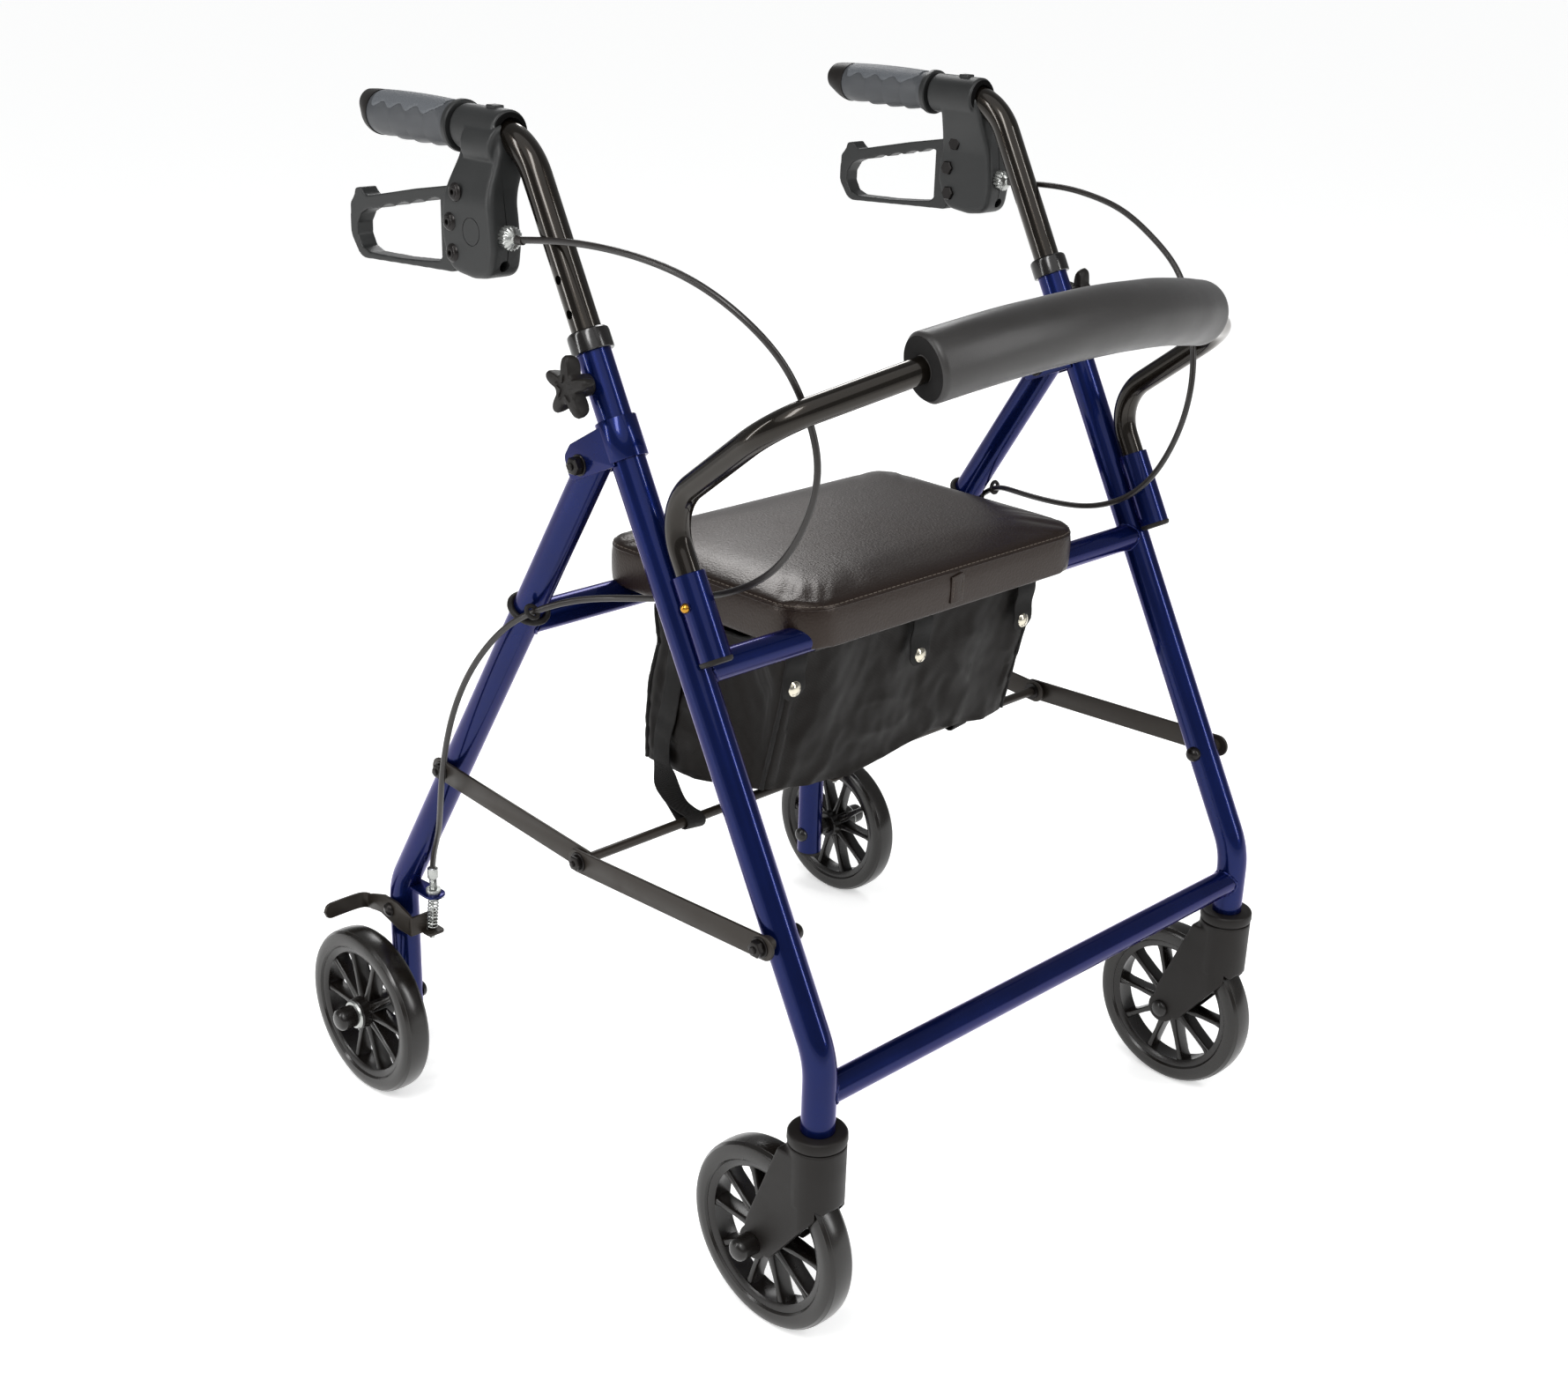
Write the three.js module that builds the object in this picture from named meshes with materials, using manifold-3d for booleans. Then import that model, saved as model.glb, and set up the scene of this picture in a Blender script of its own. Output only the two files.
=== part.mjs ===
// Folding four-wheeled rollator walker with a seat, a storage bag and hand brakes.
// Millimetres, +Z up. The walker travels towards -Y, the user stands at +Y, and +X is the user's left.
// The origin is on the ground, at the middle of the footprint.
import * as THREE from "three";
import { mergeVertices } from "three/addons/utils/BufferGeometryUtils.js";
import Module from "manifold-3d";

const wasm = await Module();
wasm.setup();

// ---------------------------------------------------------------- driving dimensions
const GAP = 0.3; // clearance between pieces that touch
const TUBE_SIDES = 16; // facets round a tube
const WHEEL_SIDES = 20; // facets round a wheel
const LEG_X = 257.5; // side planes of the frame
const LEG_R = 12.7; // leg tube, 25.4 mm across
const LEG_BORE_R = 11.4;
const HANDLE_R = 11.1; // height-adjusting tube, 22.2 mm across
const BAR_R = 9.5; // backrest tube, 19 mm across
const CROSS_R = 11.1; // front crossbars
const REAR_CROSS_R = 12.3;
const WHEEL_R = 76.2; // 6 inch wheel
const TYRE_WIDTH = 25.4;
const RIM_R = 60.8;

const CASTER_Y = -280; // swivel axis of the front casters
const CASTER_TRAIL = 43;
const REAR_Y = 237; // rear axle
const REAR_WHEEL_X = 298;
const FRONT_BEND_Z = 245.7;
const REAR_BEND_Z = 188.2;
const FRONT_SLOPE = 0.5345; // how far the front leg leans back, per unit of height
const REAR_SLOPE = 0.6102; // how far the rear leg leans forward, per unit of height
const LEG_TOP_Z = 722;
const HANDLE_Z = 851;
const HANDLE_BEND_R = 50;
const HANDLE_END_Y = 233;

const PIVOT = { y: -33, z: 631 }; // main fold pivot
const REAR_BRACE_PIVOT = { y: 149.9, z: 331 };
const MID_BRACE_PIVOT = { y: -35, z: 317.5 };
const FRONT_BRACE_PIVOT = { y: -236.8, z: 326.5 };
const BRACE_HEIGHT = 19;
const BRACE_THICKNESS = 2.6;
const BRACE_X = 271; // inner face of the rear brace

const LOWER_CROSS_Z = 217;
const SEAT_CROSS = { y: -143.4, z: 501 };
const REAR_CROSS = { y: 55.4, z: 485.7 };
const SOCKET_OFFSET = 25; // from the leg's axis to the backrest tube's axis
const SOCKET_R = 12;
const SOCKET_Z = [516, 571.9];
const BACKREST_TILT = THREE.MathUtils.degToRad(37.5); // rise of the hoop towards the front
const BACKREST_SAG_R = 471; // radius of the long front curve of the hoop
const BACKREST_REACH = 206; // from the lower bend to the middle of the hoop
const FOAM_R = 25;
const FOAM_HALF = 168;

const HOUSING_X = 272; // middle plane of the brake housing and lever
const HOUSING_WIDTH = 32;
const LEVER_PIVOT = { y: 92, z: 790 };
const STRAP_PIVOT = { y: 237, z: 167 };
const STOP_Z = 190; // underside of the cable stop plate
const SPRING_AXIS = { x: 255, y: 199.5 };

// ---------------------------------------------------------------- materials
const paint = (color, roughness, metalness) => new THREE.MeshStandardMaterial({ color, roughness,
  metalness });
const blue = paint(0x14246b, 0.3, 0.6);
const blackPaint = paint(0x16120f, 0.2, 0.5);
const darkSteel = paint(0x2b2622, 0.45, 0.7);
const zinc = paint(0xb9bcb8, 0.3, 0.9);
const brass = paint(0xb88a2e, 0.3, 0.9);
const matteBlack = paint(0x26221f, 0.65, 0);
const charcoal = paint(0x303233, 0.6, 0);
const rubber = paint(0x35383a, 0.75, 0);
const tyre = paint(0x2c2926, 0.45, 0);
const glossBlack = paint(0x14120f, 0.3, 0);
const vinyl = paint(0x1b1715, 0.4, 0);
const nylon = paint(0x121211, 0.7, 0);
const foam = paint(0x2d2e2f, 0.8, 0);

// ---------------------------------------------------------------- solids
const v3 = (x, y, z) => new THREE.Vector3(x, y, z);
const frontLegY = (z) => CASTER_Y + FRONT_SLOPE * (z - FRONT_BEND_Z);
const rearLegY = (z) => REAR_Y - REAR_SLOPE * (z - REAR_BEND_Z);

// A closed geometry as a manifold solid: shared vertices merged, slivers at a pole dropped.
function toSolid(geometry) {
  const bare = geometry.clone();
  bare.deleteAttribute("normal");
  bare.deleteAttribute("uv");
  const merged = mergeVertices(bare, 1e-4);
  const index = merged.index.array;
  const kept = [];
  for (let i = 0; i < index.length; i += 3) {
    const [a, b, c] = [index[i], index[i + 1], index[i + 2]];
    if (a !== b && b !== c && c !== a) kept.push(a, b, c);
  }
  const vertProperties = new Float32Array(merged.attributes.position.array);
  return new wasm.Manifold(new wasm.Mesh({ numProp: 3, vertProperties, triVerts: new Uint32Array(kept) }));
}

function toGeometry(solid) {
  const mesh = solid.getMesh();
  const geometry = new THREE.BufferGeometry();
  geometry.setAttribute("position", new THREE.BufferAttribute(new Float32Array(mesh.vertProperties), 3));
  geometry.setIndex(new THREE.BufferAttribute(new Uint32Array(mesh.triVerts), 1));
  geometry.computeVertexNormals();
  return geometry;
}

const join = (...solids) => solids.reduce((sum, next) => sum.add(next));
const cut = (solid, ...tools) => tools.reduce((left, tool) => left.subtract(tool), solid);

function mirrorX(geometry) {
  const mirrored = geometry.clone();
  mirrored.scale(-1, 1, 1);
  const index = mirrored.index.array;
  for (let i = 0; i < index.length; i += 3) {
    [index[i], index[i + 1]] = [index[i + 1], index[i]];
  }
  mirrored.computeVertexNormals();
  return mirrored;
}

// A straight round bar between two points.
function rod(from, to, radius, sides = TUBE_SIDES) {
  const along = to.clone().sub(from);
  const geometry = new THREE.CylinderGeometry(radius, radius, along.length(), sides);
  const turn = new THREE.Quaternion().setFromUnitVectors(v3(0, 1, 0), along.normalize());
  geometry.applyQuaternion(turn);
  const middle = from.clone().add(to).multiplyScalar(0.5);
  geometry.translate(middle.x, middle.y, middle.z);
  return toSolid(geometry);
}

const rodX = (x0, x1, y, z, radius, sides) => rod(v3(x0, y, z), v3(x1, y, z), radius, sides);

// A curve that visits a list of stations, so that a tube has one ring at each of them.
class StationCurve extends THREE.Curve {
  constructor(stations) {
    super();
    this.stations = stations;
  }

  getPointAt(u, target = new THREE.Vector3()) {
    const place = u * (this.stations.length - 1);
    const i = Math.min(Math.floor(place), this.stations.length - 2);
    return target.lerpVectors(this.stations[i], this.stations[i + 1], place - i);
  }

  getPoint(t, target) {
    return this.getPointAt(t, target);
  }

  getTangentAt(u, target = new THREE.Vector3()) {
    const i = Math.round(u * (this.stations.length - 1));
    const before = this.stations[Math.max(i - 1, 0)];
    const here = this.stations[i];
    const after = this.stations[Math.min(i + 1, this.stations.length - 1)];
    const into = here.clone().sub(before).normalize();
    const out = after.clone().sub(here).normalize();
    return target.copy(into).add(out).normalize();
  }
}

// A round tube or bar through the stations, filled.
function sweep(stations, radius, sides = TUBE_SIDES) {
  const corners = [];
  for (let i = 0; i < sides; i += 1) {
    const angle = (2 * Math.PI * i) / sides;
    corners.push(new THREE.Vector2(radius * Math.cos(angle), radius * Math.sin(angle)));
  }
  const geometry = new THREE.ExtrudeGeometry(new THREE.Shape(corners), {
    steps: stations.length - 1,
    extrudePath: new StationCurve(stations),
  });
  return toSolid(geometry);
}

// A polyline with its inner corners rounded to the given radii.
function bend(corners, radii, stepAngle = 0.26) {
  const stations = [corners[0]];
  for (let i = 1; i < corners.length - 1; i += 1) {
    const back = corners[i - 1].clone().sub(corners[i]).normalize();
    const ahead = corners[i + 1].clone().sub(corners[i]).normalize();
    const turn = Math.PI - back.angleTo(ahead);
    const reach = radii[i - 1] * Math.tan(turn / 2);
    const inward = back.clone().add(ahead).normalize();
    const centre = corners[i].clone().addScaledVector(inward, radii[i - 1] / Math.cos(turn / 2));
    const start = corners[i].clone().addScaledVector(back, reach).sub(centre);
    const axis = start.clone().cross(ahead).normalize();
    const steps = Math.max(2, Math.ceil(turn / stepAngle));
    for (let k = 0; k <= steps; k += 1) {
      stations.push(start.clone().applyAxisAngle(axis, (turn * k) / steps).add(centre));
    }
  }
  stations.push(corners[corners.length - 1]);
  return stations;
}

// A plate whose outline is drawn in the side view as [y, z] points, from x0 to x1.
function sidePlate(outline, x0, x1) {
  const shape = new THREE.Shape(outline.map(([y, z]) => new THREE.Vector2(y, z)));
  const geometry = new THREE.ExtrudeGeometry(shape, { depth: x1 - x0, bevelEnabled: false });
  geometry.applyMatrix4(new THREE.Matrix4().makeBasis(v3(0, 1, 0), v3(0, 0, 1), v3(1, 0, 0)));
  geometry.translate(x0, 0, 0);
  return toSolid(geometry);
}

// An outline with every corner rounded; each corner is [a, b, radius].
function rounded(corners, steps = 2) {
  const outline = [];
  corners.forEach(([a, b, radius], i) => {
    const here = new THREE.Vector2(a, b);
    const [pa, pb] = corners[(i + corners.length - 1) % corners.length];
    const [na, nb] = corners[(i + 1) % corners.length];
    const back = new THREE.Vector2(pa, pb).sub(here).normalize();
    const ahead = new THREE.Vector2(na, nb).sub(here).normalize();
    const turn = Math.PI - Math.acos(THREE.MathUtils.clamp(back.dot(ahead), -1, 1));
    const reach = radius * Math.tan(turn / 2);
    const start = here.clone().addScaledVector(back, reach);
    const end = here.clone().addScaledVector(ahead, reach);
    for (let k = 0; k <= steps; k += 1) {
      const t = k / steps;
      const p = start.clone().multiplyScalar((1 - t) * (1 - t));
      p.addScaledVector(here, 2 * t * (1 - t)).addScaledVector(end, t * t);
      outline.push([p.x, p.y]);
    }
  });
  return outline;
}

// A turned piece: [radius, height] points about an axis that starts at base and runs along direction.
function turned(profile, base, direction, sides = 24) {
  const geometry = new THREE.LatheGeometry(profile.map(([r, h]) => new THREE.Vector2(r, h)), sides);
  geometry.applyQuaternion(new THREE.Quaternion().setFromUnitVectors(v3(0, 1, 0),
    direction.clone().normalize()));
  geometry.translate(base.x, base.y, base.z);
  return toSolid(geometry);
}

function box(x0, x1, y0, y1, z0, z1) {
  const geometry = new THREE.BoxGeometry(x1 - x0, y1 - y0, z1 - z0);
  geometry.translate((x0 + x1) / 2, (y0 + y1) / 2, (z0 + z1) / 2);
  return toSolid(geometry);
}

// A flat strip with round ends between two [y, z] pivots.
function strip(a, b, height, x0, x1) {
  const along = Math.atan2(b.z - a.z, b.y - a.y);
  const outline = [];
  for (const [end, turn] of [[b, -Math.PI / 2], [a, Math.PI / 2]]) {
    for (let k = 0; k <= 6; k += 1) {
      const angle = along + turn + (Math.PI * k) / 6;
      outline.push([end.y + (height / 2) * Math.cos(angle), end.z + (height / 2) * Math.sin(angle)]);
    }
  }
  return sidePlate(outline, x0, x1);
}

// ---------------------------------------------------------------- the group
const walker = new THREE.Group();

function place(name, solid, material) {
  const mesh = new THREE.Mesh(toGeometry(solid), material);
  mesh.name = name;
  walker.add(mesh);
}

// The same piece on both sides; the solid is drawn on the user's left, at +X.
function placePair(name, solid, material) {
  place(`${name}_left`, solid, material);
  const mesh = new THREE.Mesh(mirrorX(toGeometry(solid)), material);
  mesh.name = `${name}_right`;
  walker.add(mesh);
}

const legAxis = v3(0, FRONT_SLOPE, 1).normalize();
const legForward = v3(0, -1, FRONT_SLOPE).normalize();
const onFrontLeg = (z) => v3(LEG_X, frontLegY(z), z);
const onRearLeg = (z) => v3(LEG_X, rearLegY(z), z);

// ---------------------------------------------------------------- front frame
const LEG_FOOT_Z = 188;
const STEM_R = 5;
const KNOB_Z = 691;
const SLEEVE_R = 15.2;
const PLATE = 2.2; // hinge bracket sheet

function frontLegStations() {
  return bend([v3(LEG_X, CASTER_Y, LEG_FOOT_Z), v3(LEG_X, CASTER_Y, FRONT_BEND_Z),
    onFrontLeg(LEG_TOP_Z)], [70]);
}

// Sheet bracket that wraps the leg and carries the rear leg between two ears.
function hingeBracket() {
  const sleeve = rod(onFrontLeg(640), onFrontLeg(667), SLEEVE_R);
  const ear = rounded([
    [-77, 654, 3], [-62, 668, 4], [-21, 643, 6], [-16, 634, 6], [-23, 616, 6], [-70, 634, 4],
  ]);
  const inner = LEG_X - SLEEVE_R;
  const outer = LEG_X + SLEEVE_R;
  const ears = join(sidePlate(ear, inner, inner + PLATE), sidePlate(ear, outer - PLATE, outer));
  return join(sleeve, ears);
}

// Welded tab that carries a pin standing out of the tube, with a head that keeps the brace on.
function bracePin(pivot, braceEnd) {
  const neck = rodX(LEG_X, braceEnd + 0.6, pivot.y, pivot.z, 4, 8);
  const head = rodX(braceEnd + GAP, braceEnd + 5, pivot.y, pivot.z, 6.5, 6);
  return join(neck, head);
}

const REAR_BRACE_OUT = BRACE_X + BRACE_THICKNESS;
const FRONT_BRACE_X = REAR_BRACE_OUT + 2.4;
const FRONT_BRACE_OUT = FRONT_BRACE_X + BRACE_THICKNESS;

function frontLeg() {
  const tube = sweep(frontLegStations(), LEG_R);
  const bore = rod(onFrontLeg(520), onFrontLeg(LEG_TOP_Z + 5), LEG_BORE_R);
  const stemHole = rod(v3(LEG_X, CASTER_Y, 180), v3(LEG_X, CASTER_Y, 222), STEM_R + GAP, 12);
  const knobHole = rodX(LEG_X, LEG_X + 20, frontLegY(KNOB_Z), KNOB_Z, 3.6, 8);
  const pivotHole = rodX(LEG_X - 20, LEG_X + 20, PIVOT.y, PIVOT.z, 4.3, 10);
  const pin = bracePin(FRONT_BRACE_PIVOT, FRONT_BRACE_OUT);
  return cut(join(tube, hingeBracket(), pin), bore, stemHole, knobHole, pivotHole);
}

function legEnvelope() {
  return sweep(frontLegStations(), LEG_R + GAP);
}

// A crossbar that meets the inner sides of both legs.
function crossbar(y, z, radius, legs) {
  const bar = rodX(-LEG_X, LEG_X, y, z, radius);
  return cut(bar, legs, toSolid(mirrorX(toGeometry(legs))));
}

function frontFrame() {
  placePair("front_leg", frontLeg(), blue);
  place("lower_crossbar", crossbar(CASTER_Y, LOWER_CROSS_Z, CROSS_R, legEnvelope()), blue);
  place("seat_crossbar", crossbar(SEAT_CROSS.y, SEAT_CROSS.z, CROSS_R, legEnvelope()), blue);
}

const onSocket = (z) => onFrontLeg(z - SOCKET_OFFSET * legForward.z).addScaledVector(legForward,
  SOCKET_OFFSET);
const BUTTON_Z = 552;

// Short tube welded in front of the leg; its lower end is closed by a plug.
function backrestSocket() {
  const tube = rod(onSocket(SOCKET_Z[0]), onSocket(SOCKET_Z[1]), SOCKET_R);
  const bore = rod(onSocket(SOCKET_Z[0] + 4), onSocket(SOCKET_Z[1] + 4), BAR_R + GAP);
  const { y } = onSocket(BUTTON_Z);
  const buttonHole = rodX(LEG_X, LEG_X + 20, y, BUTTON_Z, 4.1, 10);
  return cut(tube, bore, buttonHole);
}

// Moulded ring over the leg's top end, with a lip that guides the handle tube.
function legCollar() {
  const profile = [[LEG_BORE_R, 12.5], [LEG_R + GAP, 12.5], [LEG_R + GAP, 0], [15.6, 0], [15.6, 14],
    [14.8, 15.5], [LEG_BORE_R, 15.5], [LEG_BORE_R, 12.5]];
  return turned(profile, onFrontLeg(LEG_TOP_Z - 12 * legAxis.z), legAxis, 16);
}

function hingeBolt() {
  const outer = LEG_X + SLEEVE_R;
  const inner = LEG_X - SLEEVE_R;
  const shank = rodX(inner - 3, outer + 3, PIVOT.y, PIVOT.z, 4, 8);
  const nut = rodX(outer + GAP, outer + 7, PIVOT.y, PIVOT.z, 7, 6);
  const head = rodX(inner - 5, inner - GAP, PIVOT.y, PIVOT.z, 7, 10);
  return join(shank, nut, head);
}

function frontFittings() {
  placePair("backrest_socket", backrestSocket(), blue);
  placePair("leg_collar", legCollar(), matteBlack);
  placePair("hinge_bolt", hingeBolt(), darkSteel);
}

// Five-lobed clamp knob with its screw; the screw stops short of the handle tube.
function starKnob() {
  const y = frontLegY(KNOB_Z);
  const lobes = 5;
  const outline = [];
  for (let i = 0; i < lobes * 4; i += 1) {
    const angle = (2 * Math.PI * i) / (lobes * 4);
    const radius = 16.5 + 6.5 * Math.cos(lobes * angle);
    outline.push([y + radius * Math.cos(angle), KNOB_Z + radius * Math.sin(angle)]);
  }
  const star = sidePlate(outline, 280.5, 291.5);
  const boss = rodX(LEG_X + LEG_R + GAP, 282, y, KNOB_Z, 8, 16);
  const cap = rodX(290, 294, y, KNOB_Z, 8, 16);
  const screw = rodX(LEG_X + HANDLE_R + GAP, 275, y, KNOB_Z, 3.2, 12);
  return join(star, boss, cap, screw);
}

// ---------------------------------------------------------------- rear frame
const REAR_LEG_FOOT_Z = 54;

function rearLegStations() {
  const top = v3(LEG_X, PIVOT.y - 13 * 0.521, PIVOT.z + 13 * 0.8535);
  return bend([v3(LEG_X, REAR_Y, REAR_LEG_FOOT_Z), v3(LEG_X, REAR_Y, REAR_BEND_Z), top], [60]);
}

// Plate in front of the rear leg that holds the end of the brake cable's housing.
function cableStopPlate() {
  const { x, y } = SPRING_AXIS;
  const tip = rod(v3(x, y, STOP_Z), v3(x, y, STOP_Z + 2.5), 10, 20);
  const neck = box(x - 8, x + 10, y, REAR_Y, STOP_Z, STOP_Z + 2.5);
  return join(tip, neck);
}

function rearLeg() {
  const tube = sweep(rearLegStations(), LEG_R);
  const pin = bracePin(REAR_BRACE_PIVOT, REAR_BRACE_OUT);
  const strapPin = bracePin(STRAP_PIVOT, LEG_X + LEG_R + 3.4);
  const pivotHole = rodX(LEG_X - 20, LEG_X + 20, PIVOT.y, PIVOT.z, 4.3, 10);
  const axleHole = rodX(LEG_X - 20, LEG_X + 20, REAR_Y, WHEEL_R, 5 + GAP, 12);
  const cableHole = rod(v3(SPRING_AXIS.x, SPRING_AXIS.y, 180), v3(SPRING_AXIS.x, SPRING_AXIS.y,
    200), 3.6, 10);
  return cut(join(tube, pin, strapPin, cableStopPlate()), pivotHole, axleHole, cableHole);
}

// Threaded cable adjuster with its locknut, standing on the stop plate.
function cableAdjuster() {
  const profile = [[0, 0], [3, 0], [3, 3], [6.5, 3], [6.5, 6.5], [3, 6.5], [3, 16], [4.6, 16], [4.6, 26],
    [3.2, 27.3], [0, 27.3]];
  return turned(profile, v3(SPRING_AXIS.x, SPRING_AXIS.y, STOP_Z - 0.2), v3(0, 0, 1), 12);
}

// Axle bolt from the inner side of the leg, through the wheel, to a round cap.
function rearAxle() {
  const profile = [[0, 0], [7, 0], [7, 6], [5, 6], [5, 76.6], [9.8, 76.6], [9.8, 93], [8.3, 95.5],
    [0, 95.5]];
  return turned(profile, v3(LEG_X - LEG_R - 6.3, REAR_Y, WHEEL_R), v3(1, 0, 0), 12);
}

// Brake strap: a plate beside the leg, a shoe bar across the tyre and an arm round the leg to the cable.
function brakeStrap() {
  const inner = LEG_X + LEG_R + 0.5;
  const outer = inner + 2.6;
  const side = sidePlate(rounded([
    [206, 152, 1], [206, 170, 2], [237, 177, 5], [268, 170, 2], [275, 163, 1.5], [275, 154, 1.5],
      [240, 158, 5],
  ]), inner, outer);
  const shoe = sidePlate(rounded([[270, 154, 0.8], [270, 169, 0.8], [273, 168, 0.8],
    [275, 154, 0.8]]), inner, 320);
  const arm = box(245, outer, 205, 208, 152, 170);
  const hook = box(247, 263, 193.5, 208, 152, 155);
  const hole = rodX(inner - 5, outer + 5, STRAP_PIVOT.y, STRAP_PIVOT.z, 4.3, 10);
  return cut(join(side, shoe, arm, hook), hole);
}

// The return spring's outer shape.
function brakeSpring() {
  const { x, y } = SPRING_AXIS;
  return rod(v3(x, y, 155 + GAP), v3(x, y, STOP_Z - GAP), 5, 12);
}

function rearFrame() {
  placePair("rear_leg", rearLeg(), blue);
  const legs = sweep(rearLegStations(), LEG_R + GAP);
  place("rear_crossbar", crossbar(REAR_CROSS.y, REAR_CROSS.z, REAR_CROSS_R, legs), blue);
  placePair("cable_adjuster", cableAdjuster(), zinc);
  placePair("rear_axle", rearAxle(), glossBlack);
  placePair("brake_strap", brakeStrap(), darkSteel);
  placePair("brake_spring", brakeSpring(), zinc);
}

// ---------------------------------------------------------------- wheels and casters
function tyreRing(x, y) {
  const half = TYRE_WIDTH / 2;
  const inner = RIM_R + GAP;
  const profile = [[inner, -half], [WHEEL_R - 7, -half], [WHEEL_R, -half + 7], [WHEEL_R, half - 7],
    [WHEEL_R - 7, half], [inner, half], [inner, -half]];
  return turned(profile, v3(x, y, WHEEL_R), v3(1, 0, 0), WHEEL_SIDES);
}

// Ten-spoke moulded wheel: rim, hub and tapered spokes.
function wheelCore(x, y, hubHalf) {
  const half = TYRE_WIDTH / 2 - 3.5;
  const rim = turned([[RIM_R - 5, -half], [RIM_R, -half], [RIM_R, half], [RIM_R - 5, half],
    [RIM_R - 5, -half]],
    v3(x, y, WHEEL_R), v3(1, 0, 0), WHEEL_SIDES);
  const hub = rodX(x - hubHalf, x + hubHalf, y, WHEEL_R, 14, 10);
  const spokes = [];
  for (let i = 0; i < 10; i += 1) {
    const spoke = new THREE.BoxGeometry(2 * half - 4, 5, RIM_R - 8);
    spoke.translate(0, 0, (RIM_R - 8) / 2 + 6);
    spoke.rotateX((2 * Math.PI * (i + 0.5)) / 10);
    spoke.translate(x, y, WHEEL_R);
    spokes.push(toSolid(spoke));
  }
  const bore = rodX(x - 30, x + 30, y, WHEEL_R, 5 + GAP, 10);
  return cut(join(rim, hub, ...spokes), bore);
}

const FORK_TOP_Z = LEG_FOOT_Z - GAP;
const FORK_HALF = 21.5; // half width over the arms
const ARM = 5.5;
const FRONT_WHEEL_Y = CASTER_Y + CASTER_TRAIL;

// Caster fork: a round cap over the swivel bearing and two arms that reach back to the axle.
function casterFork() {
  const { x, y } = v3(LEG_X, CASTER_Y, 0);
  const cap = turned([[0, 0], [21.4, 0], [22.2, 28], [22.2, 32], [21, 34.2], [13.4, 34.2],
    [13.4, 29], [0, 29]],
    v3(x, y, 156), v3(0, 0, 1), 16);
  const side = rounded([
    [-302, 182, 1], [-302.2, 146, 3], [-294, 137, 4], [-272, 115, 10], [-249, 70, 2], [-226, 84, 2],
    [-228, 100, 8], [-258, 140, 8], [-259, 182, 1],
  ]);
  const boss = rodX(x - FORK_HALF, x + FORK_HALF, FRONT_WHEEL_Y, WHEEL_R, 13.5, 16);
  const block = join(sidePlate(side, x - FORK_HALF, x + FORK_HALF), boss);
  const wheelRoom = rodX(x - FORK_HALF + ARM, x + FORK_HALF - ARM, FRONT_WHEEL_Y, WHEEL_R, WHEEL_R + 5, 24);
  const round = rod(v3(x, y, 50), v3(x, y, 200), 22, 16);
  const nose = cut(sidePlate([[-310, 140], [-310, 190], [-280, 190], [-280, 140]], x - 40, x + 40), round);
  const bearing = rod(v3(x, y, 182), v3(x, y, LEG_FOOT_Z + 30), STEM_R, 10);
  const axleHole = rodX(x - 40, x + 40, FRONT_WHEEL_Y, WHEEL_R, 4 + GAP, 10);
  const body = join(cut(block, wheelRoom, nose), cap, bearing);
  return cut(body, axleHole);
}

function casterAxle() {
  const profile = [[0, 0], [7, 0], [7, 5], [4, 5], [4, 54], [8.7, 54], [8.7, 62], [7.6, 63.5], [0, 63.5]];
  return turned(profile, v3(LEG_X - FORK_HALF - 5.3, FRONT_WHEEL_Y, WHEEL_R), v3(1, 0, 0), 12);
}

function wheels() {
  placePair("rear_tyre", tyreRing(REAR_WHEEL_X, REAR_Y), tyre);
  placePair("rear_wheel", wheelCore(REAR_WHEEL_X, REAR_Y, 16.5), glossBlack);
  placePair("front_tyre", tyreRing(LEG_X, FRONT_WHEEL_Y), tyre);
  placePair("front_wheel", wheelCore(LEG_X, FRONT_WHEEL_Y, FORK_HALF - ARM - GAP), glossBlack);
  placePair("caster_fork", casterFork(), matteBlack);
  placePair("caster_axle", casterAxle(), glossBlack);
}

// ---------------------------------------------------------------- folding braces
function braces() {
  const front = strip(FRONT_BRACE_PIVOT, MID_BRACE_PIVOT, BRACE_HEIGHT, FRONT_BRACE_X, FRONT_BRACE_OUT);
  const cap = rodX(FRONT_BRACE_X, FRONT_BRACE_OUT + 5, MID_BRACE_PIVOT.y, MID_BRACE_PIVOT.z, 6.5, 6);
  const { y, z } = FRONT_BRACE_PIVOT;
  const frontHole = rodX(250, 300, y, z, 4 + GAP, 10);
  placePair("front_brace", cut(join(front, cap), frontHole), darkSteel);
  const rear = strip(MID_BRACE_PIVOT, REAR_BRACE_PIVOT, BRACE_HEIGHT, BRACE_X, REAR_BRACE_OUT);
  const rearHole = rodX(250, 300, REAR_BRACE_PIVOT.y, REAR_BRACE_PIVOT.z, 4 + GAP, 10);
  const rodHole = rodX(250, 300, MID_BRACE_PIVOT.y, MID_BRACE_PIVOT.z, 4 + GAP, 10);
  placePair("rear_brace", cut(rear, rearHole, rodHole), darkSteel);
  const end = REAR_BRACE_OUT + 1.8;
  const shaft = rodX(-end, end, MID_BRACE_PIVOT.y, MID_BRACE_PIVOT.z, 4, 8);
  const head = rodX(REAR_BRACE_OUT + GAP, end, MID_BRACE_PIVOT.y, MID_BRACE_PIVOT.z, 6.5, 8);
  place("cross_rod", join(shaft, head, toSolid(mirrorX(toGeometry(head)))), darkSteel);
}

// ---------------------------------------------------------------- handles and brakes
const CLAMP_Y = [56, 112];
const GRIP_Y = [113, HANDLE_END_Y];

function handleStations() {
  const end = v3(LEG_X, GRIP_Y[1] - 4, HANDLE_Z);
  return bend([onFrontLeg(575), onFrontLeg(HANDLE_Z), end], [HANDLE_BEND_R], 0.2);
}

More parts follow.
